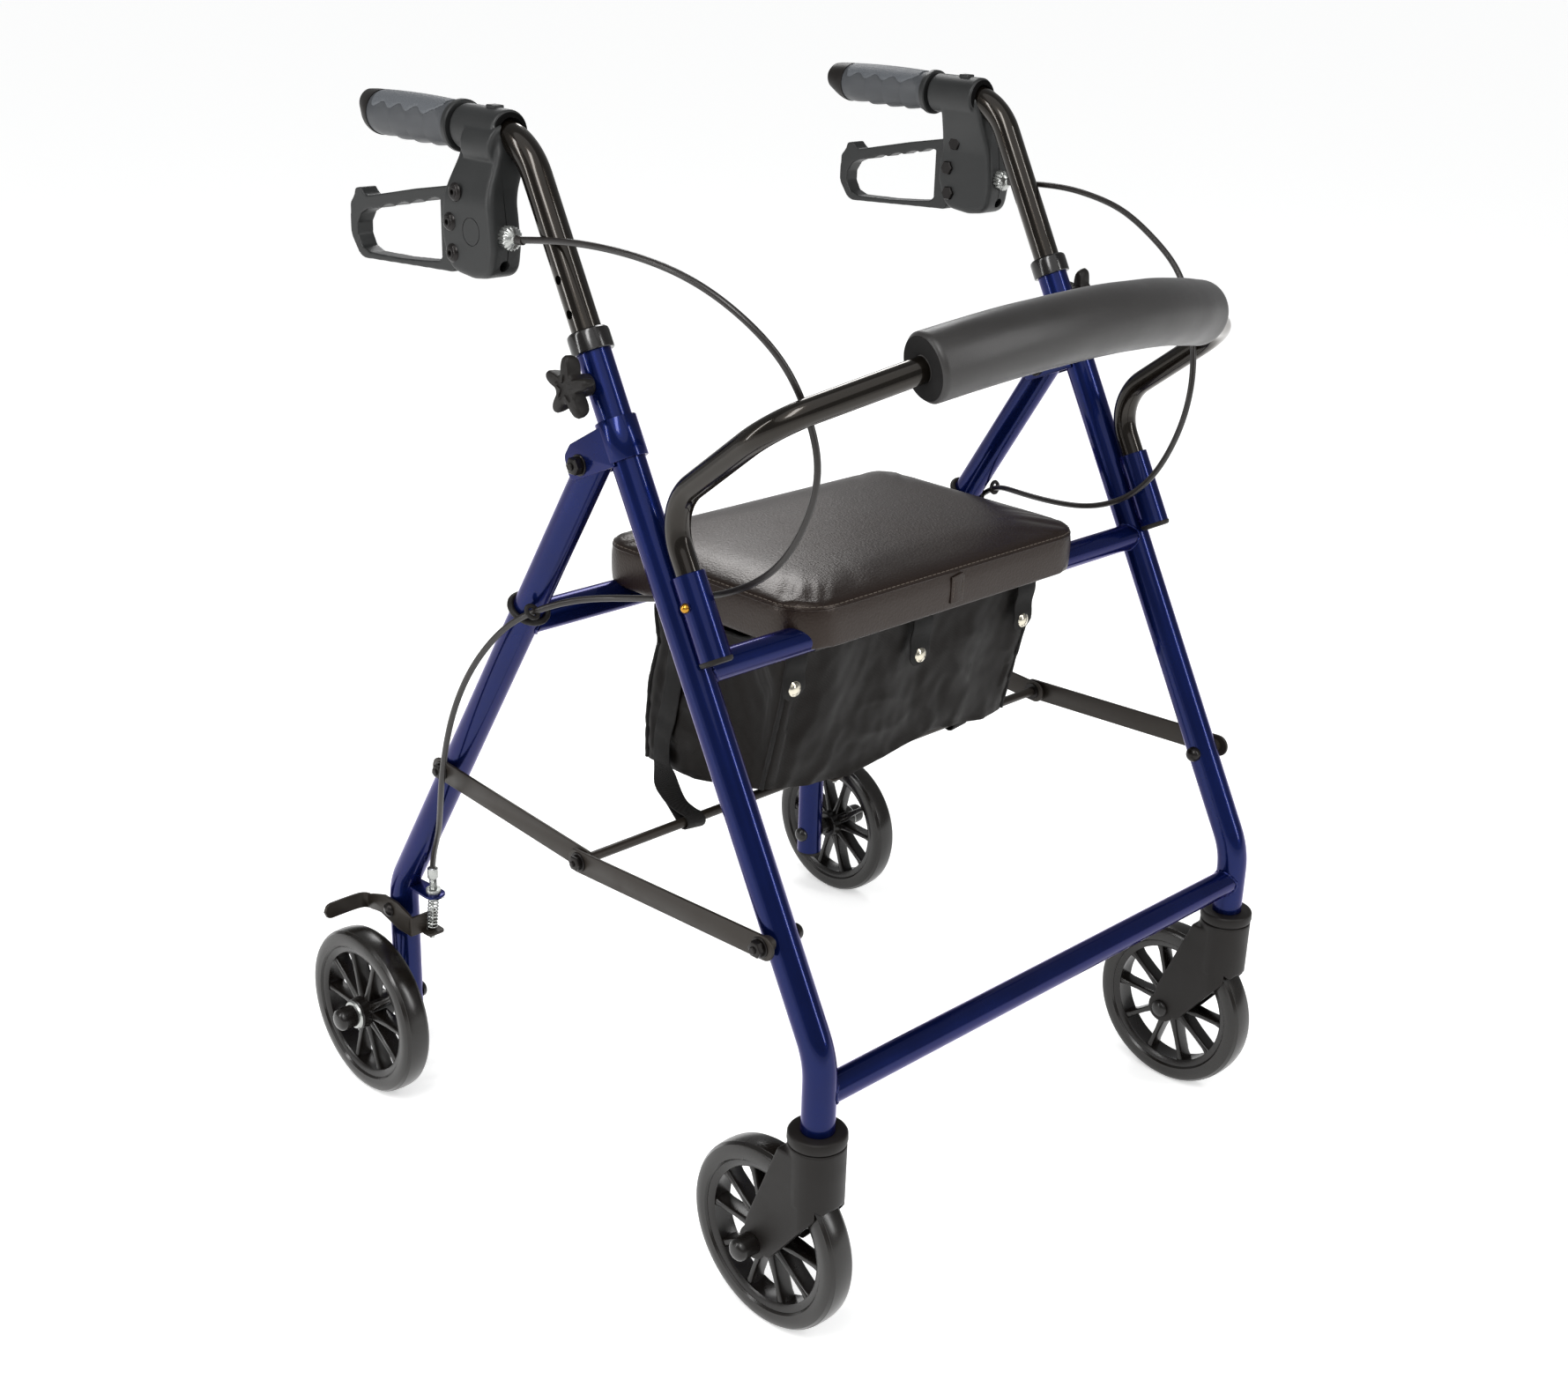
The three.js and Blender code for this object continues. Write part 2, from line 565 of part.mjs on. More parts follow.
function handleTube() {
  const tube = sweep(handleStations(), HANDLE_R);
  const holes = [];
  for (const step of [-2, -1, 1, 2, 3]) {
    const centre = onFrontLeg(KNOB_Z).addScaledVector(legAxis, 25.4 * step + 0.4);
    holes.push(rodX(LEG_X + 6, LEG_X + 20, centre.y, centre.z, 3.3, 8));
  }
  return cut(tube, ...holes);
}

// Moulded grip: flange, waist and a swelling that follows the palm, ending in a flared tip.
function grip() {
  const [start, end] = GRIP_Y;
  const length = end - start;
  const profile = [[HANDLE_R + GAP, 0], [18.5, 0], [18.5, 4.5], [15.2, 7]];
  for (let i = 1; i <= 4; i += 1) {
    const t = i / 4;
    profile.push([15 + 2.6 * Math.sin(Math.PI * t * 0.9) - 0.4 * t, 7 + (length - 13) * t]);
  }
  profile.push([13, length], [0, length], [0, length - 3], [HANDLE_R + GAP, length - 3],
    [HANDLE_R + GAP, 0]);
  return turned(profile, v3(LEG_X, start, HANDLE_Z), v3(0, 1, 0), 14);
}

// Clamp and lever housing: a split ring round the tube with a deep body below it, beside the tube.
function brakeHousing() {
  const [y0, y1] = CLAMP_Y;
  const ring = rod(v3(LEG_X, y0, HANDLE_Z), v3(LEG_X, y1, HANDLE_Z), 16.5, 16);
  const bodyOutline = rounded([
    [51, 846, 3], [50, 775, 6], [58, 751, 14], [92, 751, 12], [106, 768, 8], [102, 806, 20], [84, 846, 4],
  ]);
  const half = HOUSING_WIDTH / 2;
  const body = sidePlate(bodyOutline, HOUSING_X - half, HOUSING_X + half);
  const tubeRoom = sweep(handleStations(), HANDLE_R + GAP);
  const slot = sidePlate([[70, 742], [70, 832], [125, 832], [125, 742]], HOUSING_X - 4.6, HOUSING_X + 4.6);
  const pin = rodX(HOUSING_X - 6, HOUSING_X + 6, LEVER_PIVOT.y, LEVER_PIVOT.z, 3, 8);
  const cableHole = rod(v3(HOUSING_X, 40, 781), v3(HOUSING_X, 75, 781), 3.5, 10);
  return join(cut(join(ring, body), tubeRoom, slot, cableHole), pin);
}

// Loop lever: a closed finger loop on a tongue that turns inside the housing.
function brakeLever() {
  const loop = rounded([
    [110, 812, 1.5], [216, 794.5, 5], [223, 800, 3], [235, 788, 6], [236, 766, 12],
      [212, 745, 14], [110, 751, 1.5],
  ]);
  const window = rounded([[118, 799, 4], [196, 785, 8], [210, 772, 8], [200, 755, 10], [118, 760, 4]]);
  const frame = cut(sidePlate(loop, HOUSING_X - 7, HOUSING_X + 7), sidePlate(window, HOUSING_X - 9,
    HOUSING_X + 9));
  const tongue = rodX(HOUSING_X - 4, HOUSING_X + 4, LEVER_PIVOT.y, LEVER_PIVOT.z, 14, 12);
  const neck = sidePlate([[92, 776], [92, 804], [112, 809], [112, 755]], HOUSING_X - 4, HOUSING_X + 4);
  const hole = rodX(HOUSING_X - 9, HOUSING_X + 9, LEVER_PIVOT.y, LEVER_PIVOT.z, 3 + GAP, 10);
  return cut(join(frame, tongue, neck), hole);
}

// Knurled barrel in front of the housing, where the cable leaves it.
function barrelAdjuster() {
  const profile = [[0, 0], [3.2, 0], [3.2, 12.3], [7.4, 12.3], [7.4, 22], [6.2, 24], [3.6, 24],
    [3.6, 27], [0, 27]];
  return turned(profile, v3(HOUSING_X, 62, 781), v3(0, -1, 0), 10);
}

// Each cable is clipped at both ends and bows out in front of the frame between them.
const CABLE_ROUTES = {
  left: [
    [272, 34.5, 781], [271, 1, 782.5], [270, -30, 784], [267, -71, 779], [263, -102, 772], [255, -154, 744],
    [249, -176, 724], [236, -201, 670], [230, -203, 627], [228, -193, 594], [228, -176, 563],
      [229, -147, 538],
    [231, -109, 523], [236, -59, 517], [248, -13, 513], [261, 12, 509], [270, 26, 504], [274, 40, 496],
    [277, 53, 486], [281, 68, 469], [285, 84, 448], [287, 99, 423], [288, 110, 400], [288, 119, 376],
    [287, 128, 347], [284, 137, 318], [271, 160, 272], [259, 186, 240], [255, 198, 226], [255, 199.5, 218.6],
  ],
  right: [
    [-272, 34.5, 781], [-271, 3, 785], [-271, -33, 788], [-269, -71, 788], [-265, -112, 784],
      [-258, -147, 774],
    [-248, -179, 755], [-234, -200, 730], [-222, -204, 706], [-216, -214, 677], [-215, -218, 658],
    [-216, -216, 641], [-218, -209, 618], [-222, -193, 588], [-223, -177, 573], [-225, -153, 558],
    [-227, -125, 546], [-232, -67, 530], [-240, -20, 520], [-254, 6, 514], [-270, 26, 504], [-274, 40, 496],
    [-277, 53, 486], [-281, 68, 469], [-285, 84, 448], [-287, 99, 423], [-288, 110, 400], [-288, 119, 376],
    [-287, 128, 347], [-284, 137, 318], [-271, 160, 272], [-259, 186, 240], [-255, 198, 226],
    [-255, 199.5, 218.6],
  ],
};

function brakeCable(route) {
  const curve = new THREE.CatmullRomCurve3(route.map(([x, y, z]) => v3(x, y, z)), false, "centripetal");
  return sweep(curve.getSpacedPoints(44), 2.5, 8);
}

function handles() {
  placePair("star_knob", starKnob(), matteBlack);
  placePair("handle_tube", handleTube(), blackPaint);
  placePair("grip", grip(), rubber);
  placePair("brake_housing", brakeHousing(), charcoal);
  placePair("brake_lever", brakeLever(), charcoal);
  placePair("barrel_adjuster", barrelAdjuster(), zinc);
  place("brake_cable_left", brakeCable(CABLE_ROUTES.left), matteBlack);
  place("brake_cable_right", brakeCable(CABLE_ROUTES.right), matteBlack);
}

// ---------------------------------------------------------------- seat and bag
const BOARD_Z = 513.5;
const BOARD_THICKNESS = 8;
const SEAT_HALF = 168;
const SEAT_Y = [-162, 76];
const PAD_TOP_Z = 536;

// Seat board with two clips that turn on the front crossbar and two feet that rest on the rear one.
function seatBoard() {
  const top = BOARD_Z + BOARD_THICKNESS;
  const board = box(-SEAT_HALF + 5, SEAT_HALF - 5, -150, SEAT_Y[1] - 5, BOARD_Z, top);
  const parts = [board];
  for (const x of [-110, 110]) {
    parts.push(rodX(x - 14, x + 14, SEAT_CROSS.y, SEAT_CROSS.z, CROSS_R + 1.6, 16));
    parts.push(box(x - 14, x + 14, -152, -134, 508, BOARD_Z + 2));
    parts.push(rod(v3(x, REAR_CROSS.y, REAR_CROSS.z + REAR_CROSS_R + GAP), v3(x, REAR_CROSS.y,
      BOARD_Z + 2), 9, 10));
  }
  const barRoom = rodX(-SEAT_HALF, SEAT_HALF, SEAT_CROSS.y, SEAT_CROSS.z, CROSS_R + GAP);
  const mouth = box(-SEAT_HALF, SEAT_HALF, -152, -134, 480, 497);
  return cut(join(...parts), barRoom, mouth);
}

function seatPad() {
  const [y0, y1] = SEAT_Y;
  const outline = rounded([[y0, 497, 2], [y0 - 0.5, 522, 6], [y0 + 14, PAD_TOP_Z, 10],
    [y1 - 12, PAD_TOP_Z, 10],
    [y1, 524, 6], [y1, 499.5, 2]]);
  const block = sidePlate(outline, -SEAT_HALF, SEAT_HALF);
  const margin = 4.7;
  const boardRoom = box(-SEAT_HALF + margin, SEAT_HALF - margin, -156.5, y1 - margin, 490,
    BOARD_Z + BOARD_THICKNESS + GAP);
  const barRoom = box(-200, 200, -156.5, -130, 490, BOARD_Z);
  return cut(block, boardRoom, barRoom);
}

// Open-topped fabric bag that hangs between the crossbars.
function storageBag() {
  const half = 147;
  const wall = 3;
  const outer = [[38, 480], [-128, 480], [-119, 430], [-101, 353], [-60, 345], [38, 343]];
  const inner = [[35, 500], [-128, 500], [-116, 430], [-98.5, 355.5], [-60, 348], [35, 346]];
  return cut(sidePlate(outer, -half, half), sidePlate(inner, -half + wall, half - wall));
}

// ---------------------------------------------------------------- backrest
// The hoop: straight stubs along the sockets, a bend forward, then a curve across the front.
function backrestStations() {
  const cornerZ = 615.6;
  const corner = onSocket(cornerZ);
  const ahead = v3(0, -Math.cos(BACKREST_TILT), Math.sin(BACKREST_TILT));
  const inPlane = (x, s) => v3(x, corner.y, corner.z).addScaledVector(ahead, s);
  const arcDrop = (x) => BACKREST_SAG_R - Math.sqrt(BACKREST_SAG_R ** 2 - x ** 2);
  const shoulder = BACKREST_REACH - arcDrop(LEG_X);
  const half = bend([onSocket(520.5), corner, inPlane(LEG_X, shoulder), inPlane(150,
    BACKREST_REACH - arcDrop(150))],
    [40, 48], 0.35);
  const across = [];
  for (let x = 110; x >= -110; x -= 44) across.push(inPlane(x, BACKREST_REACH - arcDrop(x)));
  const other = half.map((p) => v3(-p.x, p.y, p.z)).reverse();
  return [...half, ...across, ...other];
}

function foamStations() {
  const stations = backrestStations().filter((p) => Math.abs(p.x) < 151);
  const first = stations[0].clone().addScaledVector(stations[0].clone().sub(stations[1]).normalize(), 19);
  const last = v3(-first.x, first.y, first.z);
  return [first, ...stations, last];
}

function backrest() {
  const bar = sweep(backrestStations(), BAR_R, 12);
  const foamBody = sweep(foamStations(), FOAM_R, 14);
  const { y } = onSocket(BUTTON_Z);
  const sockets = [-1, 1].map((side) => rodX(side * (LEG_X + 5), side * (LEG_X + 20), y, BUTTON_Z, 4, 12));
  place("backrest_bar", cut(bar, ...sockets), blackPaint);
  place("backrest_foam", cut(foamBody, sweep(backrestStations(), BAR_R + GAP, 12)), foam);
}

// Domed button that stands in the socket's side hole.
function snapButton() {
  const profile = [[0, 0], [3.6, 0], [3.6, 3], [3, 4.6], [1.6, 5.6], [0, 6]];
  return turned(profile, v3(LEG_X + BAR_R + GAP, onSocket(BUTTON_Z).y, BUTTON_Z), v3(1, 0, 0), 10);
}

frontFrame();
frontFittings();
rearFrame();
wheels();
braces();
handles();
place("seat_board", seatBoard(), matteBlack);
place("seat_pad", seatPad(), vinyl);
place("storage_bag", storageBag(), nylon);
backrest();
placePair("snap_button", snapButton(), brass);

export default walker;
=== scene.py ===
"""Looks of the folding rollator walker: fine pieces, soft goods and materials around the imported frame.

Lengths inside the geometry helpers are millimetres; meshes are written in metres.
Pieces drawn on the user's left (+X) are mirrored to the right.
"""

import math

import bmesh
import bpy
import numpy as np
from mathutils import Matrix, Quaternion, Vector, noise
from mathutils.bvhtree import BVHTree


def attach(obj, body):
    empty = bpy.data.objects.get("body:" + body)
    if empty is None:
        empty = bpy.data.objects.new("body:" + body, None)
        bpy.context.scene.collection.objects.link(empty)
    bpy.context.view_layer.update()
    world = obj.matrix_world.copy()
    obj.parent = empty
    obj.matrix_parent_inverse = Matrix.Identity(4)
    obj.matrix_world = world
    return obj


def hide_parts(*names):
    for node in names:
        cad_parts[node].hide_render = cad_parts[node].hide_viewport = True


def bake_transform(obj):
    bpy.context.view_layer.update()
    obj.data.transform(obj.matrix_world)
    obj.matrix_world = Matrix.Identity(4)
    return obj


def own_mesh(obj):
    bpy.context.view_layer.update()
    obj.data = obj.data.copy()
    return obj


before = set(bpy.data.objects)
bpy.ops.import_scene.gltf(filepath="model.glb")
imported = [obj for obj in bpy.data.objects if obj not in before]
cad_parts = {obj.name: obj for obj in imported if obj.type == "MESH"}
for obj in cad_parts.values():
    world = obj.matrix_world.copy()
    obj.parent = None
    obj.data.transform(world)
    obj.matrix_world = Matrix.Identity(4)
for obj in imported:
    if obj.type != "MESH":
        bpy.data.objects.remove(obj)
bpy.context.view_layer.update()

MM = 0.001
LEG_X = 257.5
LEG_R = 12.7
HANDLE_R = 11.1
BAR_R = 9.5
WHEEL_R = 76.2
CASTER_Y = -280.0
FRONT_WHEEL_Y = -237.0
REAR_Y = 237.0
REAR_WHEEL_X = 298.0
FRONT_BEND_Z = 245.7
REAR_BEND_Z = 188.2
FRONT_SLOPE = 0.5345
REAR_SLOPE = 0.6102
HANDLE_Z = 851.0
KNOB_Z = 691.0
HOLE_STEPS = (-2, -1, 1, 2, 3)
HOLE_PITCH = 25.4
BUTTON_Z = 552
PIVOT = (-33.0, 631.0)
REAR_PIN = (149.9, 331.0)
MID_PIN = (-35.0, 317.5)
FRONT_PIN = (-236.8, 326.5)
SEAT_BAR = (-143.4, 501.0)
REAR_BAR = (55.4, 485.7)
LOWER_BAR = (CASTER_Y, 217)
STRIP_HEIGHT = 19
STRIP_OVER = 3.0
BAR_STATIONS = (-250, -80, 80, 250)
LEVER_PIVOT = (92.0, 790.0)
STRAP_PIVOT = (237.0, 167.0)
HOUSING_X = 272.0
SPRING = (253.5, 197.5)
SPRING_LOW = (254.5, 200.5)
STOP_Z = 190.0
BRACE_X = 271.0
BRACE_T = 2.6
BRACE_OUT = BRACE_X + BRACE_T
FRONT_BRACE_X = BRACE_OUT + 2.4
X_AXIS = Vector((1, 0, 0))
Y_AXIS = Vector((0, 1, 0))
Z_AXIS = Vector((0, 0, 1))
LEG_AXIS = Vector((0, FRONT_SLOPE, 1)).normalized()
LEG_FORWARD = Vector((0, -1, FRONT_SLOPE)).normalized()
REAR_AXIS = Vector((0, -REAR_SLOPE, 1)).normalized()


# ------------------------------------------------------------------ camera, light, floor
def camera():
    yaw, pitch, roll = (math.radians(a) for a in (45.048, 21.847, 1.768))
    ahead = Vector((math.sin(yaw) * math.cos(pitch), math.cos(yaw) * math.cos(pitch), -math.sin(pitch)))
    right = Vector((math.cos(yaw), -math.sin(yaw), 0))
    up = right.cross(ahead)
    turned_right = math.cos(roll) * right + math.sin(roll) * up
    turned_up = -math.sin(roll) * right + math.cos(roll) * up
    data = bpy.data.cameras.new("camera")
    data.lens = 47.07
    data.sensor_width = 36
    data.sensor_fit = "HORIZONTAL"
    data.clip_start = 0.01
    view = add("camera", data)
    basis = Matrix((turned_right, turned_up, -ahead)).transposed()
    view.matrix_world = Matrix.Translation((-1.17108, -1.14402, 1.02690)) @ basis.to_4x4()
    bpy.context.scene.camera = view


def area_light(name, place, target, size, power):
    data = bpy.data.lights.new(name, "AREA")
    data.shape = "RECTANGLE"
    data.size, data.size_y = size
    data.energy = power
    light = add(name, data)
    light.location = place
    light.rotation_euler = (Vector(target) - Vector(place)).to_track_quat("-Z", "Y").to_euler()


def studio():
    scene = bpy.context.scene
    scene.view_settings.view_transform = "Standard"
    world = bpy.data.worlds.new("studio")
    world.use_nodes = True
    world.node_tree.nodes["Background"].inputs["Color"].default_value = (0.97, 0.985, 1, 1)
    world.node_tree.nodes["Background"].inputs["Strength"].default_value = 0.3
    scene.world = world
    sun = add("sun", bpy.data.lights.new("sun", "SUN"))
    sun.data.energy = 1.15
    sun.data.angle = math.radians(75)
    sun.rotation_euler = (math.radians(22), math.radians(-24), 0)
    area_light("key", (-1.5, -0.9, 2.5), (0, 0, 0.5), (0.5, 1.4), 30)
    area_light("left", (-2.3, 0.9, 1.5), (0, 0, 0.5), (0.22, 2.2), 24)
    area_light("front", (0.9, -2.4, 1.7), (0, 0, 0.5), (0.25, 2.2), 26)
    area_light("back", (1.5, 2.0, 2.2), (0, 0, 0.4), (0.9, 0.9), 18)
    mesh = bpy.data.meshes.new("floor")
    mesh.from_pydata([(-40, -40, 0), (40, -40, 0), (40, 40, 0), (-40, 40, 0)], [], [(0, 1, 2, 3)])
    floor = add("floor", mesh)
    mesh.materials.append(surface("floor_paper", "F8F8F7", 0.9, tint=0.01, bump=0.0,
                                  Emission_Color=(1.0, 1.0, 1.0, 1.0), Emission_Strength=0.42))


# ------------------------------------------------------------------ materials
def linear(code, gain=1.0):
    channels = [int(code[i:i + 2], 16) / 255 for i in (0, 2, 4)]
    straight = [c / 12.92 if c <= 0.04045 else ((c + 0.055) / 1.055) ** 2.4 for c in channels]
    return tuple(min(1.0, c * gain) for c in straight) + (1.0,)


def surface(name, color, rough, metal=0.0, tint=0.12, tint_scale=35.0, spread=0.06, bump=0.1,
            bump_scale=900.0, kind="noise", depth=0.0001, **fixed):
    """A procedural finish: tone and gloss that wander, and a fine relief. fixed holds plain socket values."""
    mat = bpy.data.materials.new(name)
    mat.use_nodes = True
    nodes, links = mat.node_tree.nodes, mat.node_tree.links
    shader = nodes["Principled BSDF"]
    place = nodes.new("ShaderNodeTexCoord")
    clouds = nodes.new("ShaderNodeTexNoise")
    clouds.inputs["Scale"].default_value = tint_scale
    clouds.inputs["Detail"].default_value = 4
    links.new(place.outputs["Object"], clouds.inputs["Vector"])
    tone = nodes.new("ShaderNodeMix")
    tone.data_type = "RGBA"
    tone.inputs["A"].default_value = linear(color, 1 - tint)
    tone.inputs["B"].default_value = linear(color, 1 + tint)
    links.new(clouds.outputs["Fac"], tone.inputs["Factor"])
    links.new(tone.outputs["Result"], shader.inputs["Base Color"])
    gloss = nodes.new("ShaderNodeMapRange")
    gloss.inputs["From Min"].default_value = 0.3
    gloss.inputs["From Max"].default_value = 0.7
    gloss.inputs["To Min"].default_value = max(0.02, rough - spread)
    gloss.inputs["To Max"].default_value = min(1.0, rough + spread)
    links.new(clouds.outputs["Fac"], gloss.inputs["Value"])
    links.new(gloss.outputs["Result"], shader.inputs["Roughness"])
    shader.inputs["Metallic"].default_value = metal
    for socket, value in fixed.items():
        shader.inputs[socket.replace("_", " ")].default_value = value
    if bump:
        relief = nodes.new("ShaderNodeBump")
        relief.inputs["Strength"].default_value = bump
        relief.inputs["Distance"].default_value = depth
        height = relief_source(nodes, links, place, kind, bump_scale)
        links.new(height, relief.inputs["Height"])
        links.new(relief.outputs["Normal"], shader.inputs["Normal"])
    return mat


def relief_source(nodes, links, place, kind, scale):
    if kind == "grain":
        cells = nodes.new("ShaderNodeTexVoronoi")
        cells.feature = "SMOOTH_F1"
        cells.inputs["Scale"].default_value = scale
        links.new(place.outputs["Object"], cells.inputs["Vector"])
        return cells.outputs["Distance"]
    if kind == "weave":
        waves = []
        for direction in ("X", "Z"):
            wave = nodes.new("ShaderNodeTexWave")
            wave.bands_direction = direction
            wave.inputs["Scale"].default_value = scale
            wave.inputs["Distortion"].default_value = 0.4
            links.new(place.outputs["Object"], wave.inputs["Vector"])
            waves.append(wave)
        mixed = nodes.new("ShaderNodeMath")
        mixed.operation = "MAXIMUM"
        links.new(waves[0].outputs["Fac"], mixed.inputs[0])
        links.new(waves[1].outputs["Fac"], mixed.inputs[1])
        return mixed.outputs["Value"]
    fine = nodes.new("ShaderNodeTexNoise")
    fine.inputs["Scale"].default_value = scale
    fine.inputs["Detail"].default_value = 3
    links.new(place.outputs["Object"], fine.inputs["Vector"])
    return fine.outputs["Fac"]


PAINT = surface("frame_blue", "091848", 0.24, 0.7, tint=0.25, tint_scale=14, spread=0.05, bump=0.05,
                bump_scale=1600, Coat_Weight=0.45, Coat_Roughness=0.05, Coat_IOR=1.38, Specular_IOR_Level=0.25,
                Specular_Tint=(0.34, 0.2, 0.7, 1.0), Sheen_Weight=0.04, Sheen_Roughness=0.35,
                Sheen_Tint=(0.3, 0.1, 0.8, 1.0))
GLOSS = surface("handle_black", "0A0806", 0.2, 0.15, tint=0.25, spread=0.04, bump=0.04, bump_scale=1500,
                Coat_Weight=0.6, Coat_Roughness=0.04, Coat_IOR=1.4, Specular_IOR_Level=0.25,
                Specular_Tint=(1.0, 0.85, 0.7, 1.0))
STEEL = surface("brace_steel", "28231E", 0.42, 0.35, tint=0.2, spread=0.08, bump=0.15, bump_scale=700,
                Specular_IOR_Level=0.4)
BOLT = surface("bolt_steel", "1B1817", 0.3, 0.6, tint=0.3, spread=0.08, bump=0.1, Specular_IOR_Level=0.5)
ZINC = surface("zinc_plate", "A9ABA8", 0.28, 0.95, tint=0.12, spread=0.08, bump=0.12, bump_scale=1200)
CHROME = surface("snap_chrome", "CFC9B8", 0.14, 1.0, tint=0.08, spread=0.04, bump=0.03)
BRASS = surface("button_brass", "B58430", 0.24, 0.95, tint=0.2, spread=0.06, bump=0.05)
PLASTIC = surface("black_plastic", "14110F", 0.5, tint=0.15, spread=0.06, bump=0.16, bump_scale=1400,
                  Specular_IOR_Level=0.24)
COLLAR = surface("collar_plastic", "100E0D", 0.18, tint=0.15, spread=0.04, bump=0.04, bump_scale=1400,
                 Specular_IOR_Level=0.5)
HOUSING = surface("brake_plastic", "1C1D1D", 0.46, tint=0.12, spread=0.05, bump=0.22, bump_scale=1300,
                  Specular_IOR_Level=0.4)
RUBBER = surface("grip_rubber", "3A3C3F", 0.5, tint=0.12, spread=0.08, bump=0.2, bump_scale=900,
                 Specular_IOR_Level=0.45)
STIPPLE = surface("grip_stipple", "4E5155", 0.55, tint=0.2, tint_scale=900, bump=0.9, bump_scale=800, kind="grain",
                  depth=0.0005)
TYRE = surface("tyre_rubber", "120F0C", 0.24, tint=0.15, tint_scale=20, spread=0.07, bump=0.12, bump_scale=500,
               Specular_IOR_Level=0.45)
WHEEL = surface("wheel_plastic", "0F0C0A", 0.28, tint=0.15, spread=0.05, bump=0.05, bump_scale=900,
                Specular_IOR_Level=0.4)
VINYL = surface("seat_vinyl", "1A110D", 0.36, tint=0.18, tint_scale=9, spread=0.07, bump=0.4, bump_scale=560,
                kind="grain", depth=0.0004, Specular_IOR_Level=0.34, Specular_Tint=(1.0, 0.88, 0.8, 1.0))
NYLON = surface("bag_nylon", "080605", 0.38, tint=0.2, tint_scale=14, spread=0.08, bump=0.35, bump_scale=260,
                kind="weave", depth=0.0003, Specular_IOR_Level=0.12, Specular_Tint=(1.0, 0.93, 0.88, 1.0))
WEBBING = surface("strap_webbing", "0C0A09", 0.7, tint=0.2, bump=0.8, bump_scale=420, kind="weave", depth=0.0005,
                  Specular_IOR_Level=0.3)
THREAD = surface("seam_thread", "4F463D", 0.7, tint=0.2, bump=0.3, bump_scale=2500)
FOAM = surface("backrest_foam_skin", "1F1D1C", 0.4, tint=0.1, spread=0.05, bump=0.45, bump_scale=1500,
               depth=0.0002, Specular_IOR_Level=0.5, Sheen_Weight=0.1, Sheen_Roughness=0.45)
FOAM_CUT = surface("backrest_foam_cut", "151414", 0.85, tint=0.15, bump=0.6, bump_scale=1200, depth=0.0003,
                   Specular_IOR_Level=0.2)
CABLE = surface("cable_jacket", "1A1614", 0.36, tint=0.12, spread=0.05, bump=0.08, Specular_IOR_Level=0.5)
# Matte near-black used as painted shade inside holes and in gaps between parts.
SHADE_BLACK = surface("shadow_black", "030303", 0.9, tint=0.1, bump=0.05, Specular_IOR_Level=0.1)


# ------------------------------------------------------------------ geometry helpers
def add(name, data):
    """Puts a mesh, curve, light or camera into the scene."""
    ob = bpy.data.objects.new(name, data)
    bpy.context.scene.collection.objects.link(ob)
    return ob


def smooth(mesh):
    mesh.polygons.foreach_set("use_smooth", [True] * len(mesh.polygons))


def link(name, mesh, mat, angle=35):
    mesh.materials.clear()
    mesh.materials.append(mat)
    smooth(mesh)
    mesh.set_sharp_from_angle(angle=math.radians(angle))
    return add(name, mesh)


def solid(name, verts, faces, mat, angle=35):
    """A mesh from millimetre points, with its faces turned outwards."""
    mesh = bpy.data.meshes.new(name)
    mesh.from_pydata([(p[0] * MM, p[1] * MM, p[2] * MM) for p in verts], [], faces)
    bm = bmesh.new()
    bm.from_mesh(mesh)
    bmesh.ops.recalc_face_normals(bm, faces=bm.faces)
    bm.to_mesh(mesh)
    bm.free()
    return link(name, mesh, mat, angle)


def loft(name, rings, mat, angle=35, loop=False):
    """Rings of points joined in order; a ring of one point is a pole."""
    verts, faces, starts = [], [], []
    for ring in rings:
        starts.append(len(verts))
        verts.extend(ring)
    count = len(rings)
    for i in range(count if loop else count - 1):
        a, b = i, (i + 1) % count
        na, nb = len(rings[a]), len(rings[b])
        if na == 1 and nb == 1:
            continue
        sides = max(na, nb)
        for k in range(sides):
            n = (k + 1) % sides
            if na == 1:
                faces.append((starts[a], starts[b] + n, starts[b] + k))
            elif nb == 1:
                faces.append((starts[a] + k, starts[a] + n, starts[b]))
            else:
                faces.append((starts[a] + k, starts[a] + n, starts[b] + n, starts[b] + k))
    if not loop:
        for i in (0, count - 1):
            if len(rings[i]) > 1:
                faces.append([starts[i] + k for k in range(len(rings[i]))])
    return solid(name, verts, faces, mat, angle)


def across(direction):
    """Two unit vectors square to a direction."""
    helper = Z_AXIS if abs(direction.z) < 0.9 else X_AXIS
    side = direction.cross(helper).normalized()
    return side, direction.cross(side).normalized()


def lathe(name, profile, base, axis, mat, sides=48, loop=False, angle=35, shape=None):
    """(radius, height) points turned about an axis; shape(angle, radius, height) may change the radius."""
    axis = Vector(axis).normalized()
    u, v = across(axis)
    rings = []
    for r, h in profile:
        centre = Vector(base) + axis * h
        if r == 0:
            rings.append([centre])
            continue
        ring = []
        for k in range(sides):
            a = math.tau * k / sides
            q = shape(a, r, h) if shape else r
            ring.append(centre + (u * math.cos(a) + v * math.sin(a)) * q)
        rings.append(ring)
    return loft(name, rings, mat, angle, loop=loop)


